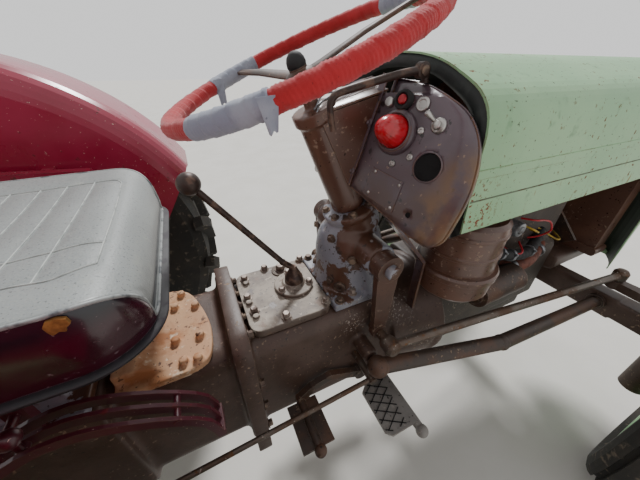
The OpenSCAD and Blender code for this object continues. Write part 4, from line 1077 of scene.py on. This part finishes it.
def hood_trims():
    """The rubber seal inside the hood's rear edge, and the raised rib and seam on its sides."""
    half = [Vector((y, HOOD_TOP - d, 0)) for y, d in HOOD_KNOTS]
    right = curve_through(half, 5)
    arch = [Vector((-p.x, p.y)) for p in reversed(right)] + [Vector((p.x, p.y)) for p in right[1:]]

    def inset(t, x):
        return [Vector((x, p.x * (1 - t / HOOD_HALF), p.y - t)) for p in arch]

    seal = Shape()
    rows = [inset(3.4, 989), inset(3.4, 1008), inset(9, 1011), inset(20, 1006), inset(25, 998),
            inset(25, 992), inset(19, 987), inset(9, 986)]
    rings = [[row[k] for row in rows] for k in range(len(arch))]
    seal.rings(rings)
    seal.make("hood_seal", [seal_rubber], "bonnet", smooth=60, slot="tyre_black")

    skin = nodes["hood"]
    ribs = Shape()
    stations = 60
    for side in (1, -1):
        for low, high, lift, slot in ((1040, 1043.5, 0.7, 1), (1078, 1094, 2.2, 0)):
            rings = []
            for k in range(stations):
                x = HOOD_REAR + 14 * k
                middle = 1.0 if slot else 1 - 0.5 * k / stations
                ring = []
                for z, out in ((low, -0.5), (low + 0.5, lift * 0.6), ((low + high) / 2, lift * middle),
                               (high - 0.5, lift * 0.6), (high, -0.5)):
                    hit, where, _, _ = skin.ray_cast(at(x, 400 * side, z), Vector((0, -side, 0)))
                    if hit:
                        ring.append((x, where.y * 1000 + side * out, z))
                if len(ring) == 5:
                    rings.append(ring)
            ribs.rings(rings, slot)
    ribs.make("hood_ribs", [mint, seam_dark], "bonnet", smooth=60, slot="mint_paint")


def fit_bolts():
    """Hexagon bolts and washers on the castings' covers and flanges."""
    up = (0, 0, 1)
    cover_top = 765
    lever = (754, 5)
    plug = (742, 74)
    cover = Shape()
    for x, y in ((646, 75), (638, 5), (643, -42), (703, -86), (704, 96), (806, 96), (802, -83),
                 (873, -84)):
        cover.bolt((x, y, cover_top), up, 8.5, 12)
    cover.turn((*plug, cover_top), up, [(-1, 24), (3, 24), (4, 22)], 28, 1)
    cover.bolt((*plug, cover_top + 3), up, 12, 14)
    cover.turn((*lever, cover_top), up, [(-1, 48), (7, 48), (9, 46), (10, 30), (16, 25)], 40, 1)
    for a in map(math.radians, (205, 335, 90)):
        spot = (lever[0] + 39 * math.cos(a), lever[1] + 39 * math.sin(a), cover_top + 9)
        cover.bolt(spot, up, 8, 9)
    cover.make("cover_bolts", [bolt_pale, cover_paint], bevel=0.7, slot="bare_steel")
    face = 616
    ahead = (1, 0, 0)
    flange = Shape()
    for side in (1, -1):
        for y, z in ((138, 470), (138, 560), (138, 650), (92, 757)):
            flange.bolt((face, y * side, z), ahead, 9, 9)
    for y in (-40, 0, 40):
        flange.bolt((face, y, 757), ahead, 8, 8)
    flange.make("flange_bolts", [bolt_steel], bevel=0.7, slot="bare_steel")
    box = Shape()
    for x in (832, 975):
        for y in (-94, 94):
            box.bolt((x, y, cover_top), up, 9, 8)
    collar = Matrix.Translation((904, 0, 948)) @ COLUMN_LEAN
    for a in map(math.radians, (60, 108, 156, 204, 252, 300)):
        spot = collar @ Vector((53 * math.cos(a), 53 * math.sin(a), 17.5))
        box.bolt(spot, collar.to_3x3() @ Vector(up), 7.5, 7)
    box_x = 906
    for angle, z in ((-150, 790), (-115, 860), (-152, 905), (150, 790), (115, 860), (152, 905), (20, 830)):
        reach = 83 if z < 880 else 78
        box.bolt(Vector((box_x, 0, z)) + heading(angle) * reach, heading(angle), 8, 7)
    for angle in (-132, 132):
        spot = Vector((box_x, 0, 778)) + heading(angle) * 84
        box.turn(spot, heading(angle), [(0, 15), (6, 15), (8, 13), (8, 6), (3, 5)], 24)
    for side in (1, -1):
        box.turn((912, 112 * side, 875), (0, side, 0), [(0, 34), (9, 34), (12, 31), (12, 27)], 36, 1)
        box.turn((912, 146 * side, 875), (0, side, 0), [(0, 15), (12, 15), (15, 12), (15, 5)], 6)
    box.make("steering_box_bolts", [bolt_steel, black_rubber], bevel=0.7, slot="bare_steel")


def engine_fittings():
    """Hoses, clamps, small pipes and wires on the engine's right side."""
    pipes = Shape()
    hose = curve_through([(1262, -128, 812), (1289, -148, 800), (1330, -152, 783), (1371, -150, 769),
                          (1443, -146, 750), (1514, -130, 752), (1580, -105, 778)], 10)
    pipes.tube(hose, [15 + 1.6 * math.sin(2.2 * k) for k in range(len(hose))], 16)
    pipe = curve_through([(1390, -100, 694), (1443, -138, 696), (1500, -140, 701), (1571, -120, 699),
                          (1640, -95, 705)], 8)
    pipes.tube(pipe, 19, 18, 1)
    clamp = [(0, 22), (2, 23.5), (12, 23.5), (14, 22)]
    for spot in ((1425, -133, 696), (1590, -115, 700)):
        pipes.turn(spot, (1, 0.1, 0), clamp, 24, 2)
    for x, y, z in ((1300, -149, 796), (1352, -151, 776), (1470, -141, 749)):
        pipes.turn((x, y, z), (1, 0, -0.4), [(0, 17.6), (1, 18.6), (9, 18.6), (10, 17.6)], 24, 2)
        pipes.bolt((x + 4, y - 17, z + 6), (0, -0.5, 1), 4, 6, 0, 2)
    cap = [(-30, 22), (6, 22), (9, 20), (10, 12), (13, 10)]
    pipes.turn((1365, -138, 851), (0, -1, 0), cap, 28, 2)
    horn = [(-40, 36), (8, 36), (12, 32), (12, 22), (22, 20), (24, 12)]
    pipes.turn((1930, -130, 795), (-0.5, -0.9, 0), horn, 28, 2)
    pipes.make("engine_pipes", [black_rubber, oxide, tin], smooth=45, slot="bare_steel")
    wires = Shape()
    for slot, path in (
        (0, [(1400, -118, 868), (1413, -150, 873), (1451, -152, 866), (1490, -152, 852), (1512, -152, 832),
             (1523, -150, 811), (1518, -132, 786), (1505, -110, 770)]),
        (0, [(1365, -120, 782), (1377, -156, 776), (1400, -158, 778), (1420, -130, 790)]),
        (1, [(1404, -112, 850), (1412, -152, 846), (1440, -154, 832), (1480, -140, 812), (1500, -110, 800)]),
        (1, [(1560, -100, 790), (1585, -148, 768), (1612, -150, 762), (1640, -110, 766)]),
    ):
        wires.tube(curve_through(path, 8), 2.6, 10, slot)
    wires.make("engine_wires", [red_wire, yellow_wire], smooth=60, slot="tyre_black")


def pad_treads():
    """Diamond grooves on the front pads, long ribs on the rear ones."""
    grooves = Shape()
    ribs = Shape()
    pad_top = 504.2
    corners = [Vector(p) for p in ((901, -155), (861, -188), (857, -289), (870, -302), (921, -303),
                                   (936, -170))]
    middle = sum(corners, Vector((0, 0))) / len(corners)
    pad = [p + (middle - p) * 0.1 for p in corners]
    for side in (1, -1):
        for k in range(-12, 14):
            for lean in (1, -1):
                path = [Vector((850 + j, -230 + 24 * k + lean * 0.62 * j)) for j in range(92)]
                path = [p for p in path if inside(p, pad)]
                if len(path) > 4:
                    grooves.tube([(p.x, side * p.y, pad_top) for p in (path[0], path[-1])], 1.2, 6)
        for x in (678, 704, 730):
            ribs.tube([(x, -252 * side, pad_top + 0.3), (x, -146 * side, pad_top + 0.3)], 2.2, 8)
    # The grooves are near black: painted shade for the tread's recesses.
    grooves.make("pad_grooves", [recess_shade], smooth=60, slot="bare_steel")
    ribs.make("pad_ribs", [black_rubber], smooth=60, slot="bare_steel")


def joint_band():
    """The wide plate at the joint between the rear case and the gearbox."""
    corner = 46
    rows = []
    for x, out in ((580, -4), (580, 1.5), (583, 3), (611, 3), (614, 1.5), (614, -4)):
        rows.append([(x, y + (corner + out) * c, z + (corner + out) * s)
                     for y, z, c, s in rounded((-150, 344), (150, 789), corner, 8)])
    shape = Shape()
    shape.rings(rows, loop=True)
    shape.make("case_joint", [case_paint], smooth=40, slot="case_paint")


def wheel_fittings():
    """Hub caps, wheel bolts and valves, each on the rim's own face."""
    for side_name, side in SIDES:
        for end, ring_r, count, size, inner_r, cap_r in (("rear", 132, 8, 13, 54, 62),
                                                         ("front", 84, 6, 9, 34, 37)):
            name = end + "_rim_" + side_name
            low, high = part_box(name)
            middle = (low + high) / 2
            x = (middle.x - AXLE_X) * 1000
            z = middle.z * 1000
            shape = Shape()

            def on_rim(dx, dz):
                start = at(x + dx, 1500 * side, z + dz)
                hit, where, _, _ = nodes[name].ray_cast(start, Vector((0, -side, 0)))
                return (x + dx, where.y * 1000, z + dz) if hit else None

            for k in range(count):
                a = 2 * math.pi * (k + 0.5) / count
                spot = on_rim(ring_r * math.cos(a), ring_r * math.sin(a))
                if spot:
                    shape.bolt(spot, (0, side, 0), size, size * 0.8)
            face = on_rim(inner_r, 0)
            if face:
                cap = [(-1, cap_r), (5, cap_r), (8, cap_r * 0.94), (16, cap_r * 0.72), (22, cap_r * 0.4),
                       (24, 3)]
                shape.turn((x, face[1], z), (0, side, 0), cap, 40, 1)
            valve_r = (high.z - low.z) * 500 * 0.84
            spot = on_rim(valve_r * 0.7, valve_r * 0.7)
            if spot:
                valve = [(-1, 7), (6, 7), (8, 4), (26, 4), (27, 5.5), (36, 5.5), (37, 4)]
                shape.turn(spot, (0, side, 0), valve, 14, 2)
            shape.make(end + "_wheel_fittings_" + side_name, [bolt_pale, mint, black_rubber],
                       end + "_wheel_" + side_name, bevel=0.8, slot="bare_steel")


def floor_and_light():
    """A pale floor, one soft sun, and a world that shows white but lights at a plain level."""
    floor = Finish("floor", "#e6e3dd", 0.9)
    floor.spots(3, 0.35, 0.65, "#e1ded7", 0.95)
    floor.grain(60, 3.0, 0.3)
    mesh = bpy.data.meshes.new("floor")
    size = 40
    mesh.from_pydata([(-size, -size, 0), (size, -size, 0), (size, size, 0), (-size, size, 0)], [],
                     [[0, 1, 2, 3]])
    mesh.materials.append(floor.done())
    plane = new_object("floor", mesh)

    world = bpy.data.worlds.new("studio")
    bpy.context.scene.world = world
    world.use_nodes = True
    tree = world.node_tree
    light = 0.55
    rays = new_node(tree, "LightPath").outputs
    seen = rays["Is Camera Ray"]
    for name in ("Is Glossy Ray", "Is Transmission Ray"):
        seen = new_node(tree, "Math", {0: seen, 1: rays[name]}, operation="MAXIMUM").outputs[0]
    level = new_node(tree, "MapRange", {0: seen, 3: light, 4: 1.0})
    ground = tree.nodes["Background"]
    tree.links.new(level.outputs[0], ground.inputs["Strength"])
    ground.inputs["Color"].default_value = (1, 1, 1, 1)

    sun = bpy.data.lights.new("key", "SUN")
    sun.energy = 3.2
    sun.angle = math.radians(9)
    key = new_object("key", sun)
    key.rotation_euler = Vector((0.25, 0.62, 0.75)).to_track_quat("Z", "Y").to_euler()


def photo_camera():
    """The camera at the photo's place and angle."""
    data = bpy.data.cameras.new("photo_camera")
    data.sensor_width = 36
    data.lens = 15.19
    data.clip_start = 0.02
    camera = new_object("photo_camera", data)
    right = Vector((0.904, -0.427, 0)).normalized()
    ahead = Vector((0.3597, 0.7616, -0.5388)).normalized()
    up = right.cross(ahead)
    turn = Matrix((right, up, -ahead)).transposed().to_4x4()
    camera.matrix_world = Matrix.Translation(at(595, -488, 1228)) @ turn
    bpy.context.scene.camera = camera


photo_camera()
dress_nodes()
for casting, voxel, rounds in (("rear_case", 6, 3), ("gearbox_case", 5, 3), ("steering_box", 3.5, 4),
                               ("lift_cover", 4, 3), ("hatch_cover", 2.5, 2), ("gearbox_cover", 2.5, 2),
                               ("front_support", 5, 3), ("front_axle_beam", 5, 3),
                               ("engine_block", 5.5, 2), ("steering_column", 3, 3)):
    cast(casting, voxel, rounds)
wrapped_rim()
wheel_spokes()
tape_end("tape_end_near", [(662, -203, 1204), (684, -205, 1206), (682, -203, 1173), (672, -203, 1170)])
tape_end("tape_end_far", [(670, 177, 1206), (690, 182, 1208), (690, 178, 1164), (677, 175, 1161)])
seat_shell()
seat_pad = cushion()
seam_cords(seat_pad)
dash_skin()
dash_lens()
dash_fittings()
column_cowl()
throttle()
hood_trims()
fit_bolts()
engine_fittings()
pad_treads()
joint_band()
wheel_fittings()
floor_and_light()
